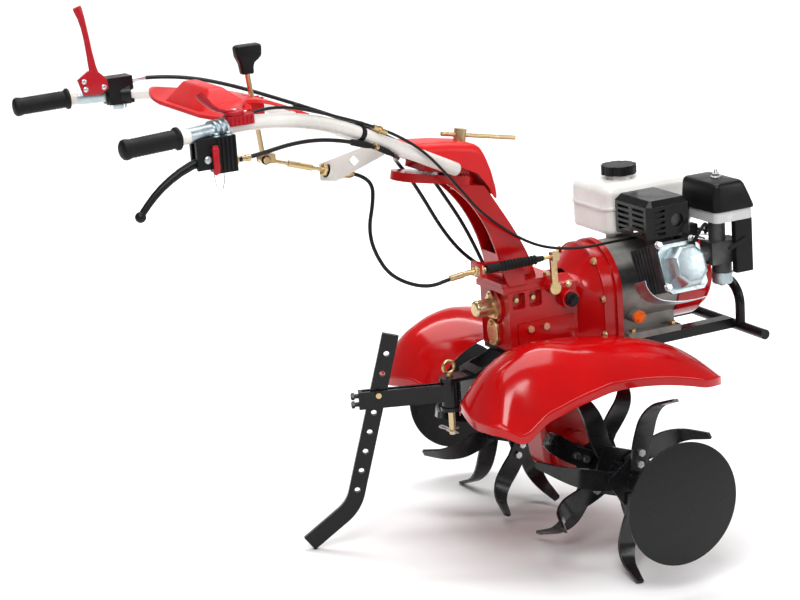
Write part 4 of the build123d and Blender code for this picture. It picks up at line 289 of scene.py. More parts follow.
FINISHES = (
    # Castings in the red painted darker as painted shade
    (red_shaded, "gearbox_housing final_drive_case column cable_stay swivel_base swivel_plate"),
    (red_paint, "fender_left fender_right fan_shroud"),
    (red_moulded, "console head_cap"),
    (white_paint, "handlebar_tubes shift_bracket"),
    (tank_white, "fuel_tank"),
    (black_paint, "hitch_bracket drag_carrier drag_stake front_frame muffler_guard side_discs rotor_frames"),
    (black_paint, "axle_shaft"),
    (tine_black, "tines_left tines_right"),
    (zinc, "pto_cap oval_cover hitch_pin stake_pin selector_arm t_handle shift_link frame_bolts clutch_fork"),
    (zinc, "wing_nut shift_lever"),
    (bright_steel, "tine_bolts main_shaft crankshaft"),
    (dark_steel, "muffler"),
    (bright_alloy, "valve_cover"),
    (engine_grey, "engine_block"),
    (cast_alloy, "carburettor"),
    (rubber, "grips shift_bellows"),
    (cable_black, "control_cables shift_cable"),
    (black_plastic, "fuel_cap air_cleaner_cover control_box filler_plug starter_grip choke_lever"),
    (black_plastic, "lever_perches clutch_lever"),
    (grey_plastic, "air_cleaner_base"),
    (red_plastic, "throttle_lever throttle_perch clutch_lock reverse_lever"),
    (orange_plastic, "dipstick"),
)


def dress(piece, material):
    """One material on the whole piece."""
    piece.data.materials.clear()
    piece.data.materials.append(material)


for finish, names in FINISHES:
    for name in names.split():
        dress(nodes[name], finish)


# Shapes
def add_object(name, data):
    """New object in the scene."""
    piece = bpy.data.objects.new(name, data)
    bpy.context.scene.collection.objects.link(piece)
    return piece


def turn(steps):
    """Angles of a full turn."""
    return [2 * pi * k / steps for k in range(steps)]


def across_way(way):
    """Unit direction with two unit directions square to it."""
    axis = Vector(way).normalized()
    side = axis.orthogonal().normalized()
    return axis, side, axis.cross(side)


def on_side(spot, hand):
    """A point or direction of the left side, or its mirror image on the right."""
    return spot * Vector((1, hand, 1))


def ridged(start, pitch, radii, count):
    """Turned profile whose radius goes to and fro between two values."""
    return [(start + pitch * k, radii[k % 2]) for k in range(count)]


def rounded_ring(z, rear, front, half, corner, steps=6, middle=0.0):
    """Rounded rectangle at one height, from rear to front and half its width to each side of its middle."""
    ring = []
    centres = ((front - corner, half - corner), (rear + corner, half - corner),
               (rear + corner, corner - half), (front - corner, corner - half))
    for quarter, (cx, cy) in enumerate(centres):
        for k in range(steps + 1):
            angle = pi / 2 * (quarter + k / steps)
            ring.append((cx + corner * cos(angle), cy + corner * sin(angle) + middle, z))
    return ring


class Shape:
    """Mesh drawn in the level frame and finished as one piece."""

    def __init__(self, name, material, body=None):
        self.name, self.material, self.body = name, material, body
        self.mesh = bmesh.new()

    def bridge(self, row, after, closed=False):
        """Faces between two rows of mesh points, or two rings if closed."""
        return [self.mesh.faces.new((row[k], row[k + 1], after[k + 1], after[k]))
                for k in range(-1 if closed else 0, len(row) - 1)]

    def grid(self, rows, closed=False):
        """Faces over rows of points; gives the points of the mesh."""
        verts = [[self.mesh.verts.new(point) for point in row] for row in rows]
        for row, after in zip(verts, verts[1:]):
            self.bridge(row, after, closed)
        return verts

    def skin(self, rings):
        """Faces between rings with the same count of points, closed at both ends."""
        verts = self.grid(rings, closed=True)
        self.mesh.faces.new(verts[0][::-1])
        self.mesh.faces.new(verts[-1])

    def lathe(self, start, way, profile, sides=28):
        """Turned piece: profile gives (along, radius) from the start."""
        axis, side, up = across_way(way)
        rings = []
        for along, radius in profile:
            middle = Vector(start) + axis * along
            rings.append([middle + (side * cos(a) + up * sin(a)) * radius for a in turn(sides)])
        self.skin(rings)

    def hexagon(self, start, way, radius, height, washer=0.0):
        """Hexagon head or nut with a chamfered top, on a washer if its radius is given."""
        if washer:
            self.lathe(start, way, ((-0.4, washer), (1.2, washer), (1.6, washer - 0.5)))
        self.lathe(start, way, ((0.2, radius), (height - 1.2, radius), (height, radius - 1.4)), sides=6)

    def tube(self, points, radius, sides=12):
        """Tube along points; radius is one number or one for each point."""
        spots = [Vector(point) for point in points]
        radii = radius if isinstance(radius, (list, tuple)) else [radius] * len(spots)
        ways = [(after - before).normalized() for before, after in zip(spots, spots[1:])]
        ways = [ways[0], *[(a + b).normalized() for a, b in zip(ways, ways[1:])], ways[-1]]
        side = ways[0].orthogonal().normalized()
        rings = []
        for spot, way, size in zip(spots, ways, radii):
            side = (side - way * side.dot(way)).normalized()
            up = way.cross(side)
            rings.append([spot + (side * cos(a) + up * sin(a)) * size for a in turn(sides)])
        self.skin(rings)

    def flat_bar(self, stations, y, rolls, sides=20):
        """Oval bar along stations (x, z, half width, half thickness), its broad side rolled from Y."""
        rings = []
        for k, ((x, z, width, thick), roll) in enumerate(zip(stations, rolls)):
            before, after = stations[max(k - 1, 0)], stations[min(k + 1, len(stations) - 1)]
            way = Vector((after[0] - before[0], 0, after[1] - before[1])).normalized()
            broad = LEFT * cos(roll) + way.cross(LEFT) * sin(roll)
            flat = way.cross(broad)
            middle = Vector((x, y, z))
            rings.append([middle + broad * width * cos(a) + flat * thick * sin(a) for a in turn(sides)])
        self.skin(rings)

    def plate(self, outline, origin, right, up, depth, edge=1.0):
        """Plate with an outline drawn on a plane, with its edges rounded."""
        base, right, up = Vector(origin), Vector(right).normalized(), Vector(up).normalized()
        away = right.cross(up) * depth
        low = [self.mesh.verts.new(base + right * x + up * y) for x, y in outline]
        high = [self.mesh.verts.new(vert.co + away) for vert in low]
        ends = [self.mesh.faces.new(low[::-1]), self.mesh.faces.new(high)]
        faces = ends + self.bridge(low, high, closed=True)
        lines = list(dict.fromkeys(line for face in faces for line in face.edges))
        bmesh.ops.bevel(self.mesh, geom=lines, offset=edge, segments=2, profile=0.6, affect="EDGES",
                        clamp_overlap=True)

    def block(self, low, high, edge=1.0):
        """Box between two corners with its edges rounded."""
        size = Vector(high) - Vector(low)
        outline = ((0, 0), (size.x, 0), (size.x, size.y), (0, size.y))
        self.plate(outline, low, AHEAD, LEFT, size.z, edge)

    def ribs(self, low, high, pitch, count, edge=0.6):
        """Row of equal blocks along X."""
        for k in range(count):
            self.block(Vector(low) + AHEAD * pitch * k, Vector(high) + AHEAD * pitch * k, edge)

    def piece(self, place):
        """The mesh as an object in the scene."""
        data = bpy.data.meshes.new(self.name)
        self.mesh.to_mesh(data)
        self.mesh.free()
        data.transform(place)
        data.shade_smooth()
        data.set_sharp_from_angle(angle=SMOOTH_ANGLE)
        piece = add_object(self.name, data)
        dress(piece, self.material)
        return piece

    def finish(self):
        """The finished piece, riding on its body."""
        bmesh.ops.recalc_face_normals(self.mesh, faces=self.mesh.faces)
        piece = self.piece(LEVEL)
        if self.body:
            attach(piece, self.body)
        return piece


def turned(name, material, body, *parts):
    """Piece made of turned parts, each with its start, its direction and its profile."""
    shape = Shape(name, material, body)
    for start, way, profile in parts:
        shape.lathe(start, way, profile)
    return shape.finish()


# Cables
def cable_line(points):
    """Points of the NURBS line with these control points, in the level frame."""
    curve = bpy.data.curves.new("cable_line", "CURVE")
    curve.dimensions = "3D"
    curve.resolution_u = 20
    spline = curve.splines.new("NURBS")
    spline.points.add(len(points) - 1)
    for control, point in zip(spline.points, points):
        control.co = (*point, 1.0)
    spline.order_u = 3
    spline.use_endpoint_u = True
    line = bpy.data.objects.new("cable_line", curve)
    mesh = bpy.data.meshes.new_from_object(line)
    spots = [vert.co.copy() for vert in mesh.vertices]
    bpy.data.objects.remove(line)
    bpy.data.curves.remove(curve)
    bpy.data.meshes.remove(mesh)
    return spots


def cable(name, points, radius, node):
    """Cable from the handlebar to the frame: a tube along a smooth line through its points."""
    line = cable_line(points)
    shape = Shape(name, cable_black)
    shape.tube(line, radius)
    piece = shape.finish()
    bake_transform(piece)
    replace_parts(piece, node)


SHIFT_ROUTE = (
    (-450, -1.8, 665), (-434, -4, 662), (-406, -10, 640), (-411, -17, 603), (-430, -27, 552),
    (-426, -38, 505), (-400, -53, 452), (-335, -76, 422), (-278, -87, 437), (-236, -87, 441))
CLUTCH_ROUTE = (
    (-792, -283, 788), (-760, -276, 789), (-660, -234, 793), (-560, -182, 776), (-455, -147, 740),
    (-392, -116, 702), (-350, 0, 683), (-318, 52, 660), (-280, 58, 612), (-200, 72, 470), (-120, 80, 395),
    (-68, 82, 372))
THROTTLE_ROUTE = (
    (-755, -252, 862), (-720, -238, 866), (-640, -205, 851), (-500, -152.5, 798), (-450, -136, 776),
    (-396, -122, 750), (-330, -107.5, 704), (-248, -75, 618), (-190, -56, 551), (-108, -50, 486),
    (-47, -61, 454), (33, -64, 440), (110, -62, 440), (280, -62, 440), (326, -100, 440), (340, -120, 426))
REVERSE_ROUTE = (
    (-794, 262, 872), (-740, 247, 874), (-640, 208, 856), (-500, 154, 798), (-360, 104, 734), (-270, 82, 680),
    (-215, 78, 590), (-150, 74, 480), (-118, 68, 392))
CABLE_RADIUS, THROTTLE_CABLE_RADIUS = 4.0, 3.0

cable("shift_cable_sheath", SHIFT_ROUTE, CABLE_RADIUS, "shift_cable")
cable("clutch_cable_sheath", CLUTCH_ROUTE, CABLE_RADIUS, "control_cables")
cable("throttle_cable_sheath", THROTTLE_ROUTE, THROTTLE_CABLE_RADIUS, "control_cables")
cable("reverse_cable_sheath", REVERSE_ROUTE, CABLE_RADIUS, "control_cables")

# Shift cable's straight end: ferrule, threaded barrel and nuts on the stay, then the rubber bellows
SHIFT_END = Vector((0, -87, 441))
ferrule = Shape("shift_cable_ferrule", zinc, "frame")
ferrule.lathe((-287, -87, 435.8), (45, 0, 5), ((0, 4.2), (1, 6.2), (30, 6.4), (31, 5.4), (44, 5.4)))
ferrule.lathe(SHIFT_END + BACK * 246, AHEAD, ridged(0, 1.5, (5.0, 5.6), 29), sides=20)
ferrule.hexagon(SHIFT_END + BACK * 222, BACK, 10.5, 9.0, 11.0)
ferrule.hexagon(SHIFT_END + BACK * 218, AHEAD, 10.5, 8.0, 11.0)
ferrule.finish()

BELLOWS_START, BELLOWS_BEND = 203, (170, 92)  # behind the axle
BELLOWS_COLLAR = ((0, 6.5), (0.8, 9.2), (3, 9.7), (28, 9.5), (31, 8.6))
BELLOWS_RIBS, BELLOWS_PITCH, BELLOWS_RIB_START = 11, 7.8, 33.0
BELLOWS_RIB = ((0.0, 3.6), (0.28, 1.2), (0.45, 0.1), (0.6, 0.1), (0.78, 1.2))  # share of the pitch, depth
BELLOWS_RADIUS, BELLOWS_TAPER = 11.4, 0.12
BELLOWS_NECK = ((119.5, 6.8), (126, 6.2), (134, 5.4), (135, 4.4))

profile = list(BELLOWS_COLLAR)
for rib in range(BELLOWS_RIBS):
    size = BELLOWS_RADIUS - BELLOWS_TAPER * rib
    for share, drop in BELLOWS_RIB:
        profile.append((BELLOWS_RIB_START + BELLOWS_PITCH * (rib + share), size - drop))
profile += BELLOWS_NECK
bellows = turned("shift_bellows_rubber", rubber, None, (SHIFT_END + BACK * BELLOWS_START, AHEAD, profile))
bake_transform(bellows)
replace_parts(bellows, "shift_bellows")

# Left handlebar tube: at the head, at its bend and at the inner end of the grip
TUBE_HEAD, TUBE_BEND, TUBE_END = Vector((-237, 48, 648)), Vector((-641, 200, 845)), Vector((-905, 296, 846))
TUBE_RADIUS = 14.0

# Grips
GRIP_TIP = Vector((-1024, 307, 842))
GRIP_END = ((-5, 3), (-4.6, 9), (-3.2, 14), (0, 17.8), (4, 19), (9, 18.4), (14, 17.2))
GRIP_RIBS = ridged(18, 3.5, (16.7, 17.5), 23)
GRIP_COLLAR = ((99, 17), (102, 19.5), (104, 21), (108, 21), (109.6, 19), (110, 16))
grips = Shape("grip_rubber", rubber, "handlebar")
for hand in HANDS:
    grips.lathe(on_side(GRIP_TIP, hand), on_side(TUBE_END - GRIP_TIP, hand),
                [*GRIP_END, *GRIP_RIBS, *GRIP_COLLAR], sides=36)
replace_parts(grips.finish(), "grips")

# Shift cable's stay: foot on the side of the column's flange, arm and upright tab
STAY_OUTLINE = (
    (-222, 427), (-222, 455), (-216, 457), (-194, 448), (-140, 446), (-100, 420), (-100, 386), (-138, 386),
    (-150, 420), (-196, 428))
STAY_Y, STAY_THICKNESS = -58.3, 4.2
# In the red painted darker as painted shade
stay = Shape("cable_stay_plate", red_shaded, "frame")
stay.plate(STAY_OUTLINE, (0, STAY_Y, 0), AHEAD, UP, STAY_THICKNESS, edge=0.8)
stay.block((-222, -101, 426), (-218, -58.5, 457), edge=1.2)
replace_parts(stay.finish(), "cable_stay")


# Sheet forms
def eased(low, high, value):
    """0 below low, 1 above high and smooth between them."""
    t = min(max((value - low) / (high - low), 0.0), 1.0)
    return t * t * (3 - 2 * t)


def line_at(points, x):
    """Height of a smooth line through points at one place."""
    slopes = [(y1 - y0) / (x1 - x0) for (x0, y0), (x1, y1) in zip(points, points[1:])]
    tangents = [slopes[0], *[(a + b) / 2 for a, b in zip(slopes, slopes[1:])], slopes[-1]]
    k = 0
    while k < len(points) - 2 and x > points[k + 1][0]:
        k += 1
    (x0, y0), (x1, y1) = points[k:k + 2]
    t = min(max((x - x0) / (x1 - x0), 0.0), 1.0)
    bow = (1 - t) * tangents[k] - t * tangents[k + 1]
    return y0 + (y1 - y0) * eased(x0, x1, x) + t * (1 - t) * (x1 - x0) * bow


def straight_at(points, x):
    """Height of straight runs between points at one place."""
    for (x0, y0), (x1, y1) in zip(points, points[1:]):
        if x <= x1:
            return y0 + (y1 - y0) * max(0.0, x - x0) / (x1 - x0)
    return points[-1][1]


def crowded(count):
    """Places from 0 to 1 that crowd towards both ends."""
    return [(1 - cos(pi * k / count)) / 2 for k in range(count + 1)]


class Sheet(Shape):
    """Shape made of sheets, which get their thickness when it is finished."""

    def __init__(self, *facts, thickness):
        super().__init__(*facts)
        self.thickness = thickness

    def rolled_edge(self, verts, profile, hand):
        """Lip along a line of mesh points: steps out to one side, seen from above, and down."""
        spots = [vert.co.copy() for vert in verts]
        ways = [spots[min(k + 1, len(spots) - 1)] - spots[max(k - 1, 0)] for k in range(len(spots))]
        outs = [Vector((way.y, -way.x, 0)).normalized() * hand for way in ways]
        last = list(verts)
        for out, down in profile:
            row = [self.mesh.verts.new(spot + aside * out + DOWN * down) for spot, aside in zip(spots, outs)]
            self.bridge(last, row)
            last = row

    def finish(self):
        """The sheets with their thickness, as one piece."""
        bmesh.ops.recalc_face_normals(self.mesh, faces=self.mesh.faces)
        bmesh.ops.solidify(self.mesh, geom=self.mesh.faces[:], thickness=self.thickness)
        return super().finish()


# Fenders: crowned trays with a rolled lip and a tab on the gearbox. Lines give (x, z)
FENDER_INNER = ((-309, 117), (-269, 157), (-204, 220), (-147, 247), (-39, 259), (251, 185), (311, 170))
FENDER_OUTER = (
    (-331, 148), (-275, 152), (-239, 152), (-217, 166), (-192, 182), (-156, 192), (-128, 200), (-82, 209),
    (-36, 216), (57, 210), (150, 190), (216, 168), (273, 146))
FENDER_CREST = (
    (-318, 134), (-308, 158), (-300, 180), (-290, 204), (-270, 238), (-250, 259), (-231, 270), (-198, 284),
    (-150, 293), (-113, 290), (-66, 281), (5, 271), (101, 255), (173, 229), (222, 196), (252, 164), (280, 136))
FENDER_Y, FENDER_CREST_Y = (62.0, 287.0), 185.0
FENDER_NOTCH_X, FENDER_NOTCH_Y = (6, 32), 106.0  # the inner edge steps out for the gearbox's bell
FENDER_REAR = (-269.0, -289.0, -24.0, 38.0)  # x at the inner and at the outer edge, bow, outer corner
FENDER_FRONT = (256.0, 226.0, 22.0, 54.0)
FENDER_STEPS, FENDER_COLUMNS = 72, 28
FENDER_LIP = ((1.0, 0.4), (1.9, 1.4), (2.4, 3.0), (2.6, 6.0), (2.6, 20.0))
FENDER_THICKNESS = 2.2
FENDER_TAB_Y = (60.2, 63.2)


def fender_end(ends, t, ahead):
    """Place of a fender's front or rear edge: bowed, with its outer corner rounded."""
    inner, outer, bow, corner = ends
    share = max(0.0, 1 - (1 - t) * (FENDER_Y[1] - FENDER_Y[0]) / corner)
    rounding = ahead * corner * (1 - (1 - share ** 2) ** 0.5)
    return inner + (outer - inner) * t + bow * 4 * t * (1 - t) - rounding


def fender_height(x, y):
    """Height of a fender's sheet: its two edges with the crest between them."""
    crest = line_at(FENDER_CREST, x)
    if y < FENDER_CREST_Y:
        edge, share = line_at(FENDER_INNER, x), (FENDER_CREST_Y - y) / (FENDER_CREST_Y - FENDER_Y[0])
    else:
        edge, share = line_at(FENDER_OUTER, x), (y - FENDER_CREST_Y) / (FENDER_Y[1] - FENDER_CREST_Y)
    return crest + (edge - crest) * share ** 2


def fender(name, hand, node):
    """One fender, on the left (hand 1) or the right (hand -1)."""
    sheet = Sheet(name, red_paint, "frame", thickness=FENDER_THICKNESS)
    rows = []
    for k in range(FENDER_STEPS + 1):
        row = []
        for t in crowded(FENDER_COLUMNS):
            rear, front = fender_end(FENDER_REAR, t, -1), fender_end(FENDER_FRONT, t, 1)
            x = rear + (front - rear) * k / FENDER_STEPS
            inner = FENDER_Y[0] + (FENDER_NOTCH_Y - FENDER_Y[0]) * eased(*FENDER_NOTCH_X, x)
            y = inner + (FENDER_Y[1] - inner) * t
            row.append((x, hand * y, fender_height(x, y)))
        rows.append(row)
    verts = sheet.grid(rows)
    edge = verts[0] + [row[-1] for row in verts[1:-1]] + verts[-1][::-1]
    sheet.rolled_edge(edge, FENDER_LIP, -hand)
    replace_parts(sheet.finish(), node)


fender("fender_left_tray", 1, "fender_left")
fender("fender_right_tray", -1, "fender_right")
# In the red painted darker as painted shade
tabs = Shape("fender_tabs", red_shaded, "frame")
for hand in HANDS:
    low_y, high_y = sorted(hand * y for y in FENDER_TAB_Y)
    tabs.block((-122, low_y, 246), (12, high_y, 304))
tabs.finish()

# Spring clip through the hitch pin
CLIP_Z, CLIP_RADIUS = 87, 1.5
CLIP_LINE = (
    (-258, -24), (-258, 0), (-258, 26), (-259, 40), (-266, 44), (-271, 36), (-268, 24), (-264, 14), (-267, 6),
    (-267.5, -4), (-263, -14), (-262, -22))
clip = Shape("hitch_clip", bright_steel, "frame")
clip.tube(cable_line([(x, y, CLIP_Z) for x, y in CLIP_LINE]), CLIP_RADIUS)
clip.finish()

# Hood over the swivel, drawn in the head's leaning frame: (along, up) from the pivot, and (along, half width)
HEAD_PIVOT, HEAD_TILT = Vector((-212, 0, 628)), radians(11)
HEAD_AHEAD = Vector((cos(HEAD_TILT), 0, -sin(HEAD_TILT)))
HEAD_UP = Vector((sin(HEAD_TILT), 0, cos(HEAD_TILT)))
HOOD_TOP = (
    (-132, 50), (-127, 59), (-118, 61), (-49, 67), (2, 68), (18, 66), (31, 60), (44, 45), (88, -24), (98, -37))
HOOD_LOW = ((-132, 49), (-10, 17), (26, 7), (55, -18), (67, -31), (76, -39), (84, -44), (92, -43), (98, -38))
HOOD_HALF = ((-132, 50), (-30, 50), (0, 49), (60, 42.5), (80, 32), (89, 23), (96, 9), (98.5, 1.5))
HOOD_START, HOOD_LENGTH, HOOD_STEPS = -132, 230.4, 60
HOOD_SHOULDER, HOOD_SHOULDER_STEPS = 19.0, 8
HOOD_LEAST_WALL = 0.6
SHEET_THICKNESS = 2.5


def hood_section(u):
    """Points across the hood at one place, from its right edge over the top to its left edge."""
    half, top = straight_at(HOOD_HALF, u), straight_at(HOOD_TOP, u)
    low = min(straight_at(HOOD_LOW, u), top - HOOD_LEAST_WALL)
    corner = min(HOOD_SHOULDER, 0.9 * half, 0.95 * (top - low))
    section = [(-half, low), (-half, low + 0.5 * (top - corner - low))]
    for k in range(HOOD_SHOULDER_STEPS + 1):
        angle = pi / 2 * k / HOOD_SHOULDER_STEPS
        section.append((-half + corner - corner * cos(angle), top - corner + corner * sin(angle)))
    section += [(-0.5 * (half - corner), top), (0, top)]
    section += [(-y, w) for y, w in section[-2::-1]]
    return [HEAD_PIVOT + HEAD_AHEAD * u + HEAD_UP * w + LEFT * y for y, w in section]


hood = Sheet("head_hood", red_moulded, "handlebar", thickness=SHEET_THICKNESS)
verts = hood.grid([hood_section(HOOD_START + HOOD_LENGTH * share) for share in crowded(HOOD_STEPS)])
hood.mesh.faces.new(verts[0])
hood.mesh.faces.new(verts[-1][::-1])
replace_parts(hood.finish(), "head_cap")

# Console: sheet between the tubes with a slot for the shift lever, a hump and two ears for the lever's pin
CONSOLE_LINE = ((-797, 848), (-745, 858), (-690, 858), (-627, 842), (-547, 806))
CONSOLE_PLAN = (
    (-797, 104), (-790, 160), (-778, 205), (-767, 234), (-760, 234), (-742, 180), (-720, 124), (-696, 88),
    (-660, 68), (-627, 60), (-573, 51), (-547, 44))
CONSOLE_REAR, CONSOLE_FRONT = -797, -547
SLOT_START, SLOT_HALF = -666.0, 9.0
CONSOLE_LIP = ((0.8, 0.4), (1.4, 1.4), (1.6, 7.0))
HUMP = (  # z, rear, front, half width, corner
    (842, -794, -684, 104, 18), (846, -793, -685, 103, 18), (862, -780, -702, 90, 15),
    (878, -766, -722, 76, 11), (883, -762, -727, 71.5, 9), (885.6, -759, -731, 68, 7.5),
    (886.4, -754, -736, 62, 6))
EARS_Y = ((-13, -8.5), (8.5, 13))


def console_rows(start, end, steps, inner, shares, hand=1):
    """Rows of points over the console; shares go from an inner place (0) to its edge (1)."""
    rows = []
    for k in range(steps + 1):
        x = start + (end - start) * k / steps
        half, z = straight_at(CONSOLE_PLAN, x), line_at(CONSOLE_LINE, x)
        rows.append([(x, hand * (inner + (half - inner) * share), z) for share in shares])
    return rows


console = Sheet("console_cover", red_moulded, "handlebar", thickness=SHEET_THICKNESS)
whole = console.grid(console_rows(CONSOLE_REAR, SLOT_START, 24, 0.0, [k / 12 for k in range(-12, 13)]))
for hand in HANDS:
    shares = [k / 6 for k in range(7)]
    strip = console.grid(console_rows(SLOT_START, CONSOLE_FRONT, 18, SLOT_HALF, shares, hand))
    console.rolled_edge([row[0 if hand < 0 else -1] for row in whole], CONSOLE_LIP, -hand)
    console.rolled_edge([row[-1] for row in strip], CONSOLE_LIP, -hand)
console.rolled_edge(whole[0], CONSOLE_LIP, -1)
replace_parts(console.finish(), "console")

hump = Shape("console_hump", red_moulded, "handlebar")
hump.skin([rounded_ring(*row) for row in HUMP])
hump.finish()
ears = Shape("console_ears", red_moulded, "handlebar")
for low_y, high_y in EARS_Y:
    ears.block((-654, low_y, 788), (-626, high_y, 846))
ears.finish()

# Knob of the shift lever, which leans over to the front
KNOB = (  # z, rear, front, half width
    (893, -662.5, -639.5, 9.0), (895, -663.5, -638.5, 9.6), (906, -665, -638, 10), (914, -666.5, -635.5, 11),
    (920, -669, -627, 12.6), (928, -672.5, -620.5, 13.4), (943, -674, -619.5, 13.4),
    (947.5, -672.5, -621, 12.4), (949.6, -668, -625, 9.5))
knob = Shape("shift_knob", black_plastic, "shift_lever")
knob.skin([rounded_ring(*row, corner=0.5 * row[-1], steps=5) for row in KNOB])
knob.finish()

# Link of the shift lever: clevis washers and nuts, sleeve, the guide it slides in, and the cable's mouth
LINK_START, LINK_END = Vector((-632, 0, 722)), Vector((-468, 0, 669))
LINK_WAY = (LINK_END - LINK_START).normalized()
CLEVIS_WASHER_Y, CLEVIS_NUT_Y = 10.9, 13.4
SLEEVE_PLACE, GUIDE_PLACE = 52, 153.08  # along the link
GUIDE_WASHER_OFF, GUIDE_NUT_OFF = 13, 16
MOUTH_START, MOUTH_WAY = Vector((-465, 0.3, 667.6)), Vector((28, -4, -5)).normalized()
MOUTH_PROFILE, MOUTH_SIDES = ((0, 9.2), (16, 9.0), (20, 7.0), (23, 5.9)), 28

clevis = Shape("clevis_washers", black_plastic, "shift_link")
sleeve = Shape("link_sleeve", zinc, "shift_link")
guide = Shape("link_guide_nuts", zinc, "handlebar")
guide_washers = Shape("link_guide_washers", black_plastic, "handlebar")
guide_middle = LINK_START + LINK_WAY * GUIDE_PLACE
for hand in HANDS:
    away, along = LEFT * hand, LINK_WAY * hand
    clevis.lathe(LINK_START + away * CLEVIS_WASHER_Y, away, ((0, 9.5), (2, 9.5), (2.6, 8.8)))
    sleeve.hexagon(LINK_START + away * CLEVIS_NUT_Y, away, 7.5, 5.0)
    guide_washers.lathe(guide_middle + along * GUIDE_WASHER_OFF, along, ((0, 14.5), (2.5, 14.5), (3, 13.8)))
    guide.hexagon(guide_middle + along * GUIDE_NUT_OFF, along, 13.0, 8.0)
sleeve.lathe(LINK_START + LINK_WAY * SLEEVE_PLACE, LINK_WAY, ((0, 4.4), (1.5, 6.4), (54, 6.4), (55.5, 4.4)))
clevis.finish()
sleeve.finish()
guide.finish()
mouth = Sheet("shift_cable_mouth", zinc, "handlebar", thickness=1.6)
mouth_side = MOUTH_WAY.cross(UP).normalized()
mouth_up = mouth_side.cross(MOUTH_WAY)
mouth.grid([[MOUTH_START + MOUTH_WAY * along + (mouth_side * cos(a) + mouth_up * sin(a)) * size
             for a in [*turn(MOUTH_SIDES), 0.0]] for along, size in MOUTH_PROFILE])
mouth.finish()
guide_washers.finish()


# Handlebar fittings
def tube_at(x, hand):
    """Point on a handlebar tube, before or behind its bend, and the tube's direction there."""
    front, rear = (TUBE_HEAD, TUBE_BEND) if x > TUBE_BEND.x else (TUBE_BEND, TUBE_END)
    share = (x - front.x) / (rear.x - front.x)
    return on_side(front.lerp(rear, share), hand), on_side(front - rear, hand).normalized()


STRAP_X = -489.5
STRAP_LOCK = (Vector((-7, -6, 13)), Vector((8, 6, 23)))
caps = Shape("tube_caps", white_paint, "handlebar")
straps = Shape("cable_straps", rubber, "handlebar")
for hand in HANDS:
    start, way = tube_at(TUBE_HEAD.x, hand)
    caps.lathe(start - way * 1.5, way, ((0, 13.9), (2, 13.9), (3.6, 12.6), (4.8, 9.5), (5.4, 5)))
    spot, way = tube_at(STRAP_X, hand)
    straps.lathe(spot - way * 6, way, ((0, 14.6), (0.6, 16.2), (11.4, 16.2), (12, 14.6)))
    straps.block(spot + STRAP_LOCK[0], spot + STRAP_LOCK[1], edge=1.6)
caps.finish()
straps.finish()

RIB_PITCH = 8
BARE_RUNS = ((-898, -812, -1), (-898, -847, 1))  # from, to, hand
BARE_RADIUS, BARE_STEP = TUBE_RADIUS + 0.4, 0.4
CLAMP_PLACES = ((-842, -1), (-830, -1), (-818, -1), (-836, 1), (-812, 1))
CLAMP_PROFILE = ((0, 15), (0.6, 18.6), (5.4, 18.6), (6, 15))
CLUTCH_PIVOT = Vector((-866, 0, 800))

perch = Shape("clutch_perch_fins", black_plastic, "handlebar")
perch.ribs((-846, -306.5, 776), (-842.5, -303, 835), RIB_PITCH, 5)
perch.finish()
bare = Shape("bare_tube_ends", bright_alloy, "handlebar")
for start, end, hand in BARE_RUNS:
    spot, way = tube_at(start, hand)
    run = (tube_at(end, hand)[0] - spot).length
    bare.lathe(spot, way, ((0, TUBE_RADIUS), (BARE_STEP, BARE_RADIUS), (run - BARE_STEP, BARE_RADIUS),
                           (run, TUBE_RADIUS)), sides=40)
bare.finish()
clamps = Shape("perch_clamps", bright_alloy, "handlebar")
for x, hand in CLAMP_PLACES:
    spot, way = tube_at(x, hand)
    clamps.lathe(spot - way * 3, way, CLAMP_PROFILE)
for x in (-842, -818):
    clamps.hexagon((x, -293, 837), UP, 5.5, 7.0, 7.0)
clamps.lathe(CLUTCH_PIVOT + RIGHT * 303.6, RIGHT, ((0, 7), (2, 7), (3.6, 5.2), (4.2, 2)))
clamps.finish()

# Catch that locks the clutch lever, and its wire
CATCH_OUTLINE = (
    (-858, 825), (-848, 825), (-846, 818), (-847, 800), (-846, 784), (-848, 774), (-856, 771), (-860, 775),
    (-857.5, 788), (-858, 800), (-858.5, 812))
CATCH_Y, CATCH_THICKNESS = -307.2, 4.6
WIRE_LINE = (
    (-856, -299, 783), (-855, -300, 768), (-853, -300.5, 750), (-848, -301, 741), (-841, -301, 744),
    (-837, -300.5, 756), (-836, -299, 774))
catch = Shape("clutch_catch", red_plastic, "clutch_lock")
catch.plate(CATCH_OUTLINE, (0, CATCH_Y, 0), AHEAD, UP, CATCH_THICKNESS, edge=1.2)
catch.lathe((-853, -303.3, 816), RIGHT, ((0, 5.6), (8.6, 5.6), (9.6, 4.6)))
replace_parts(catch.finish(), "clutch_lock")
wire = Shape("lock_wire", bright_steel, "handlebar")
wire.tube(WIRE_LINE, radius=0.9, sides=8)
wire.finish()

# Cable ends at the levers, adjusters along the cables and their boots
CLUTCH_FITTING = ((0, 6), (4, 6), (4, 8), (9, 8), (9, 5.4), (24, 5.4), (25, 6.4), (34, 6.2), (36, 4.4))
ADJUSTER = ((0, 3.4), (1, 5.6), (15, 5.6), (15, 7.4), (20, 7.4), (20, 4.6), (36, 4.4), (37, 3.2))
turned("cable_end_fittings", zinc, "handlebar",
       ((-810, -283, 788), (1, 0.05, 0), CLUTCH_FITTING),
       ((-457, -138.5, 779), (63, 15, -35), ADJUSTER),
       ((-463, -149, 743), (63, 25, -30), ((0, 4.4), (1, 7), (9, 7), (10, 4.6))))
turned("cable_boots", rubber, "handlebar",
       ((-522, -168.5, 763), (60, 20, -20.5), ((0, 4.2), (5, 6.4), (40, 6.8), (50, 6), (58, 5))),
       ((-451, -144, 737), (60, 28, -33), ((0, 4.8), (1, 6), (30, 5.8), (46, 4.2))))
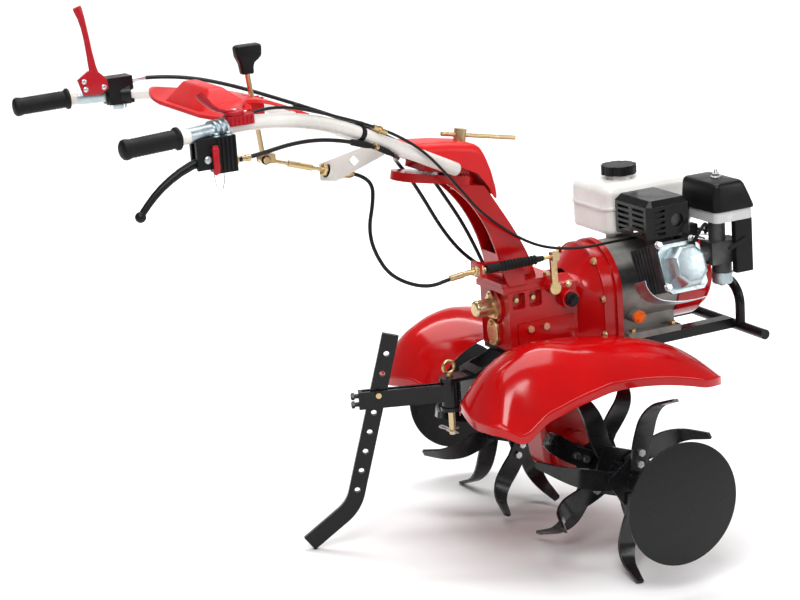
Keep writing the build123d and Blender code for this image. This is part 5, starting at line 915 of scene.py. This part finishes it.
turned("reverse_cable_end", bright_steel, "handlebar",
       ((-797, 262, 872), (54, -15, 2), ((0, 6), (5, 6), (5, 7.6), (10, 7.6), (10, 5), (30, 5), (32, 4.2))))

# Clutch lever: tapered round bar that ends in a ball, on its hub
LEVER_LINE = (
    (-858, 801), (-872, 797.5), (-892, 791.5), (-914, 782.5), (-934, 771.5), (-952, 759.5), (-968, 746),
    (-982, 732), (-993, 719.5))
LEVER_RADII = (8.5, 9, 8.4, 7.8, 7.4, 7.1, 6.9, 6.7, 6.5)
LEVER_Y = -287
BALL_RADIUS, BALL_STEPS, BALL_POLE = 10.2, 14, 0.8
ball_angles = [pi * k / BALL_STEPS for k in range(BALL_STEPS + 1)]
ball_profile = [(-BALL_RADIUS * cos(a), max(BALL_POLE, BALL_RADIUS * sin(a))) for a in ball_angles]
lever = Shape("clutch_lever_bar", black_plastic, "clutch_lever")
lever.tube([(x, LEVER_Y, z) for x, z in LEVER_LINE], LEVER_RADII, sides=18)
lever.lathe((-997, LEVER_Y, 714), (4, 0, 5.5), ball_profile)
lever.lathe(CLUTCH_PIVOT + RIGHT * 295.6, LEFT, ((0, 11), (0.8, 12), (16.4, 12), (17.2, 11)))
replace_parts(lever.finish(), "clutch_lever")
turned("clutch_pin", bright_steel, "clutch_lever",
       (CLUTCH_PIVOT + RIGHT * 304.4, LEFT, ((0, 3.2), (0.6, 4), (33.6, 4), (34.4, 3.2))))

# Throttle lever: wavy thumb paddle, which rolls over along its length, on a round dial
PADDLE = (
    (-781, 871.5, 9, 3.2), (-794, 873, 9.5, 3.6), (-810, 875, 8.5, 3.8), (-824, 879.5, 8, 3.8),
    (-836, 888, 8.4, 3.8), (-845, 898, 9.4, 3.8), (-853, 908, 9.6, 3.6), (-857, 913.5, 8, 2.6))
PADDLE_ROLL = radians(7.0)
THROTTLE_PIVOT = Vector((-792, -262, 0))
DIAL_PROFILE = (
    (0, 18.4), (0.8, 19), (6.6, 19), (8, 17.6), (8, 13.5), (7.2, 12.5), (7.2, 8.5), (8.6, 7.6), (8.6, 3))
thumb = Shape("throttle_paddle", red_plastic, "throttle_lever")
thumb.flat_bar(PADDLE, THROTTLE_PIVOT.y, [PADDLE_ROLL * k for k in range(len(PADDLE))])
thumb.lathe(THROTTLE_PIVOT + UP * 866.3, UP, DIAL_PROFILE, sides=40)
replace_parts(thumb.finish(), "throttle_lever")
turned("throttle_screw", bright_steel, "throttle_lever",
       (THROTTLE_PIVOT + UP * 874, UP, ((0, 5.6), (2, 5.6), (3, 4.4), (3.2, 1))))
ridges = Shape("throttle_ridges", red_plastic, "handlebar")
ridges.ribs((-806, -281.4, 849.5), (-802.5, -279, 864.5), RIB_PITCH, 6)
ridges.finish()

# Reverse lever: slim curved blade on a cut plate, and the perch's clamp round the tube
BLADE = (
    (-876, 893, 10, 4.4), (-879, 911, 8, 4.4), (-882, 938, 6.6, 4.2), (-885, 968, 6, 4), (-888, 990, 6.2, 4),
    (-892, 1010, 7.4, 4), (-896, 1024, 9, 3.8), (-898, 1031, 8.6, 3))
BLADE_Y, BLADE_ROLL = 241.2, radians(90)
BLADE_PLATE = ((-912, 888), (-889, 903), (-873, 904), (-852, 884), (-850, 864), (-866, 854), (-903, 857))
BLADE_PLATE_Y, BLADE_PLATE_THICKNESS = 245.7, 8.6
RIVETS, RIVET_Y = ((-860, 868), (-898, 868), (-900, 884)), 237.4
REVERSE_CLAMP = ((0, 17), (1.5, 21), (24, 21.5), (25, 19), (29, 19), (30, 21.5), (50, 21), (51.5, 17))
CLAMP_BOLT_OFF = Vector((0, -6, -21))
blade = Shape("reverse_blade", red_plastic, "reverse_lever")
blade.flat_bar(BLADE, BLADE_Y, [BLADE_ROLL] * len(BLADE))
blade.plate(BLADE_PLATE, (0, BLADE_PLATE_Y, 0), AHEAD, UP, BLADE_PLATE_THICKNESS, edge=1.6)
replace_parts(blade.finish(), "reverse_lever")
turned("reverse_rivets", bright_steel, "reverse_lever",
       *[((x, RIVET_Y, z), RIGHT, ((0, 5.4), (1.4, 5.4), (2.4, 4), (2.8, 1.4))) for x, z in RIVETS])
start, way = tube_at(-846, 1)
turned("reverse_clamp", black_plastic, "handlebar", (start, way, REVERSE_CLAMP))
under = Shape("reverse_clamp_bolt", bright_alloy, "handlebar")
under.lathe(tube_at(-836, 1)[0] + CLAMP_BOLT_OFF, way, ((0, 7), (1, 9), (20, 9), (21, 7)))
under.hexagon(tube_at(-814, 1)[0] + CLAMP_BOLT_OFF, way, 6.5, 5.0, 8.0)
under.finish()

# Bolts of the gearbox's bell and of its side
BELL_X, BELL_BOLTS = 64, ((99, 332), (99, 256), (70, 408))
bell_bolts = Shape("bell_bolts", zinc, "frame")
for y, z in BELL_BOLTS:
    for hand in HANDS:
        bell_bolts.hexagon((BELL_X, hand * y, z), BACK, 7.5, 7.0, 9.0)
bell_bolts.hexagon((5, -60, 369), RIGHT, 6.0, 5.0, 7.5)
bell_bolts.finish()

# Valve cover: eight-sided, stepped and domed, with four ear bolts
COVER_SHIFT = Vector((8, 0, -9))
COVER = (  # along, half width, half height, cut
    (190.2, 51, 52, 12), (196.4, 51, 52, 12), (197, 50.4, 51.4, 12), (197, 41, 44, 20), (221, 38, 41, 20),
    (228, 36, 39, 19.5), (231.5, 33, 36, 18), (233, 28, 31, 15))
COVER_BOLT_SEAT, COVER_BOLTS = 196.8, ((-41, -44.5), (41, -44.5), (-41, 44.5), (41, 44.5))


def cylinder_point(along, across, up):
    """Point at a distance along the cylinder's axis and to the side of it."""
    return CYLINDER_MIDDLE + CYLINDER_AXIS * along + AHEAD * across + CYLINDER_UP * up


def octagon(along, half, high, cut):
    """Eight points around the valve cover's middle line."""
    quarter = [(half, high - cut), (half - cut, high)]
    ring = quarter + [(-x, y) for x, y in quarter[::-1]]
    return [cylinder_point(along, x, y) + COVER_SHIFT for x, y in ring + [(-x, -y) for x, y in ring]]


cover = Shape("valve_cover_dome", bright_alloy, "frame")
cover.skin([octagon(*ring) for ring in COVER])
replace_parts(cover.finish(), "valve_cover")
cover_bolts = Shape("cover_bolts", bright_steel, "frame")
for across, up in COVER_BOLTS:
    seat = cylinder_point(COVER_BOLT_SEAT, across, up)
    cover_bolts.hexagon(seat, CYLINDER_AXIS, 7.4, 8.0, 8.6)
cover_bolts.finish()

# Lower edge of the sheet round the cylinder
STRIP = (
    (113, 381), (116, 368), (124, 354), (136, 342), (152, 333), (180, 325), (209, 321), (240, 320), (266, 322))
STRIP_Y, STRIP_SLOPE = (-188, -180, -164, -148), 0.364
strip = Sheet("cylinder_sheet", bright_alloy, "frame", thickness=2.0)
strip.grid([[(x, y, z - STRIP_SLOPE * (y - STRIP_Y[0])) for y in STRIP_Y] for x, z in STRIP])
strip.finish()

# Black shield under the muffler guard
shield = Shape("plug_shield", black_plastic, "frame")
shield.block((228, -132, 424), (284, -106, 464), edge=3.0)
shield.finish()

# Spark plug's boot and lead
LEAD_ROUTE = (
    (236, -176, 432), (244, -186, 452), (256, -188, 470), (272, -176, 474), (288, -160, 462), (296, -140, 444))
LEAD_RADIUS = 3.6
turned("plug_boot", rubber, "frame",
       ((236, -172, 418), (0.1, -0.25, 1), ((0, 6.5), (2, 8), (16, 8), (22, 5.5))))
lead_line = cable_line(LEAD_ROUTE)
lead = Shape("plug_lead", rubber, "frame")
lead.tube(lead_line, LEAD_RADIUS)
lead.finish()

# Throttle rods, float bowl and the nut on the air cleaner
RODS = (
    ((282, -126, 455), (316, -148, 452)), ((282, -124, 441), (314, -146, 436)),
    ((282, -122, 430), (312, -144, 424)))
ROD_RADIUS = 1.8
BOWL_PROFILE = ((0, 16), (0.8, 19.5), (4, 21.6), (21, 21.6), (22, 22.6), (25, 22.6), (25.6, 21))
BOWL_PLACE, CLEANER_STUD = Vector((328, -150, 0)), Vector((333, -132, 0))
STUD_PROFILE = [(0, 4), *ridged(1, 0.9, (3.6, 4.0), 8), (8.6, 2.6)]
rods = Shape("throttle_rods", bright_steel, "frame")
for ends in RODS:
    rods.tube(ends, ROD_RADIUS)
rods.finish()
bowl = Shape("float_bowl", bright_alloy, "frame")
bowl.lathe(BOWL_PLACE + UP * 330.6, UP, BOWL_PROFILE)
bowl.hexagon(BOWL_PLACE + UP * 331, DOWN, 7.0, 6.0, 8.5)
bowl.finish()
nut = Shape("cleaner_nut", bright_steel, "wing_nut")
nut.lathe(CLEANER_STUD + UP * 556.3, UP, ((0, 12), (1.4, 12), (2, 11.2)))
nut.hexagon(CLEANER_STUD + UP * 558, UP, 8.0, 7.0)
nut.lathe(CLEANER_STUD + UP * 564, UP, STUD_PROFILE)
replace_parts(nut.finish(), "wing_nut")

# Starter rope, drawn out of the recoil cover by its grip
ROPE_START, ROPE_END, ROPE_RADIUS, ROPE_STEPS = Vector((316, 0, 392)), Vector((358, 0, 392)), 2.3, 12
rope_line = [ROPE_START.lerp(ROPE_END, k / ROPE_STEPS) for k in range(ROPE_STEPS + 1)]
rope = Shape("starter_rope", rubber)
rope.tube(rope_line, ROPE_RADIUS)
rope = rope.finish()
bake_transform(rope)

# Air cleaner cover: box whose front wall slopes back, with a rounded top
CLEANER = (  # z, rear, front, half width, corner
    (495.2, 283, 384, 67, 14), (497, 282, 385, 68, 15), (502, 283, 384, 67.5, 15), (520, 284, 376, 66.5, 14),
    (546, 286, 364, 64.5, 13), (552, 288, 360, 62.5, 12), (555, 291, 356, 59.5, 11), (556, 296, 351, 54, 9))
CLEANER_Y = -132.5
cleaner = Shape("cleaner_lid", black_plastic, "frame")
cleaner.skin([rounded_ring(*row, middle=CLEANER_Y) for row in CLEANER])
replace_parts(cleaner.finish(), "air_cleaner_cover")


# Studio, in metres
CAMERA_PLACE = (-2.0847, -4.024, 1.5656)
CAMERA_YAW = radians(-26.95)
CAMERA_PITCH = radians(90 - 12.72)
LENS = 102.15
MIDDLE = (0.0, 0.0, 0.5)
WORLD_STRENGTH = 0.22
FLOOR_HALF, FLOOR_BACK, FLOOR_RISE, FLOOR_STEPS = 9.0, 5.0, 6.0, 16
FLOOR_TONES = ((0.3, (0.92, 0.92, 0.92)), (0.7, (0.94, 0.94, 0.94)))


def floor():
    """Plain pale floor that curves up far behind the machine."""
    material, tree, shader = new_material("pale_floor")
    feed(tree, shader, {
        "Base Color": ramp(tree, noise(tree, scale=1.2, detail=3.0), FLOOR_TONES),
        "Roughness": spread(tree, noise(tree, scale=40.0, detail=3.0), 0.7, 0.8),
        "Specular IOR Level": 0.2})
    profile = [(-FLOOR_HALF, 0.0), (FLOOR_BACK, 0.0)]
    for k in range(1, FLOOR_STEPS + 1):
        angle = pi / 2 * k / FLOOR_STEPS
        profile.append((FLOOR_BACK + FLOOR_RISE * sin(angle), FLOOR_RISE * (1 - cos(angle))))
    sheet = Shape("floor", material)
    sheet.grid([[(x, y, z) for y, z in profile] for x in (2 * FLOOR_HALF, -2 * FLOOR_HALF)])
    piece = sheet.piece(Matrix())
    piece.rotation_euler.z = CAMERA_YAW
    piece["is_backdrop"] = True


def soft_light(name, place, target, size, power):
    """Large area light turned to a point."""
    data = bpy.data.lights.new(name, "AREA")
    data.shape = "RECTANGLE"
    data.size, data.size_y = size
    data.energy = power
    piece = add_object(name, data)
    piece.location = place
    piece.rotation_euler = (Vector(target) - Vector(place)).to_track_quat("-Z", "Y").to_euler()


floor()
soft_light("key", (-1.8, -3.2, 4.0), MIDDLE, (2.0, 2.0), 150)
soft_light("fill", (3.4, -3.4, 2.4), MIDDLE, (2.0, 2.0), 60)
soft_light("top", (0.2, 0.6, 4.6), MIDDLE, (4.0, 4.0), 190)
soft_light("backdrop", (1.2, 2.6, 5.0), (3.2, 7.0, 1.0), (6.0, 3.0), 420)

world = bpy.data.worlds.new("studio")
world.use_nodes = True
background = world.node_tree.nodes["Background"]
background.inputs["Color"].default_value = (1.0, 1.0, 1.0, 1.0)
background.inputs["Strength"].default_value = WORLD_STRENGTH
bpy.context.scene.world = world
bpy.context.scene.view_settings.view_transform = "Standard"

camera_data = bpy.data.cameras.new("camera")
camera_data.lens = LENS
camera = add_object("camera", camera_data)
camera.location = CAMERA_PLACE
camera.rotation_euler = (CAMERA_PITCH, 0.0, CAMERA_YAW)
bpy.context.scene.camera = camera

size = {"cad": [list(corner) for corner in cad_box], "visual": [list(corner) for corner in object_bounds()]}
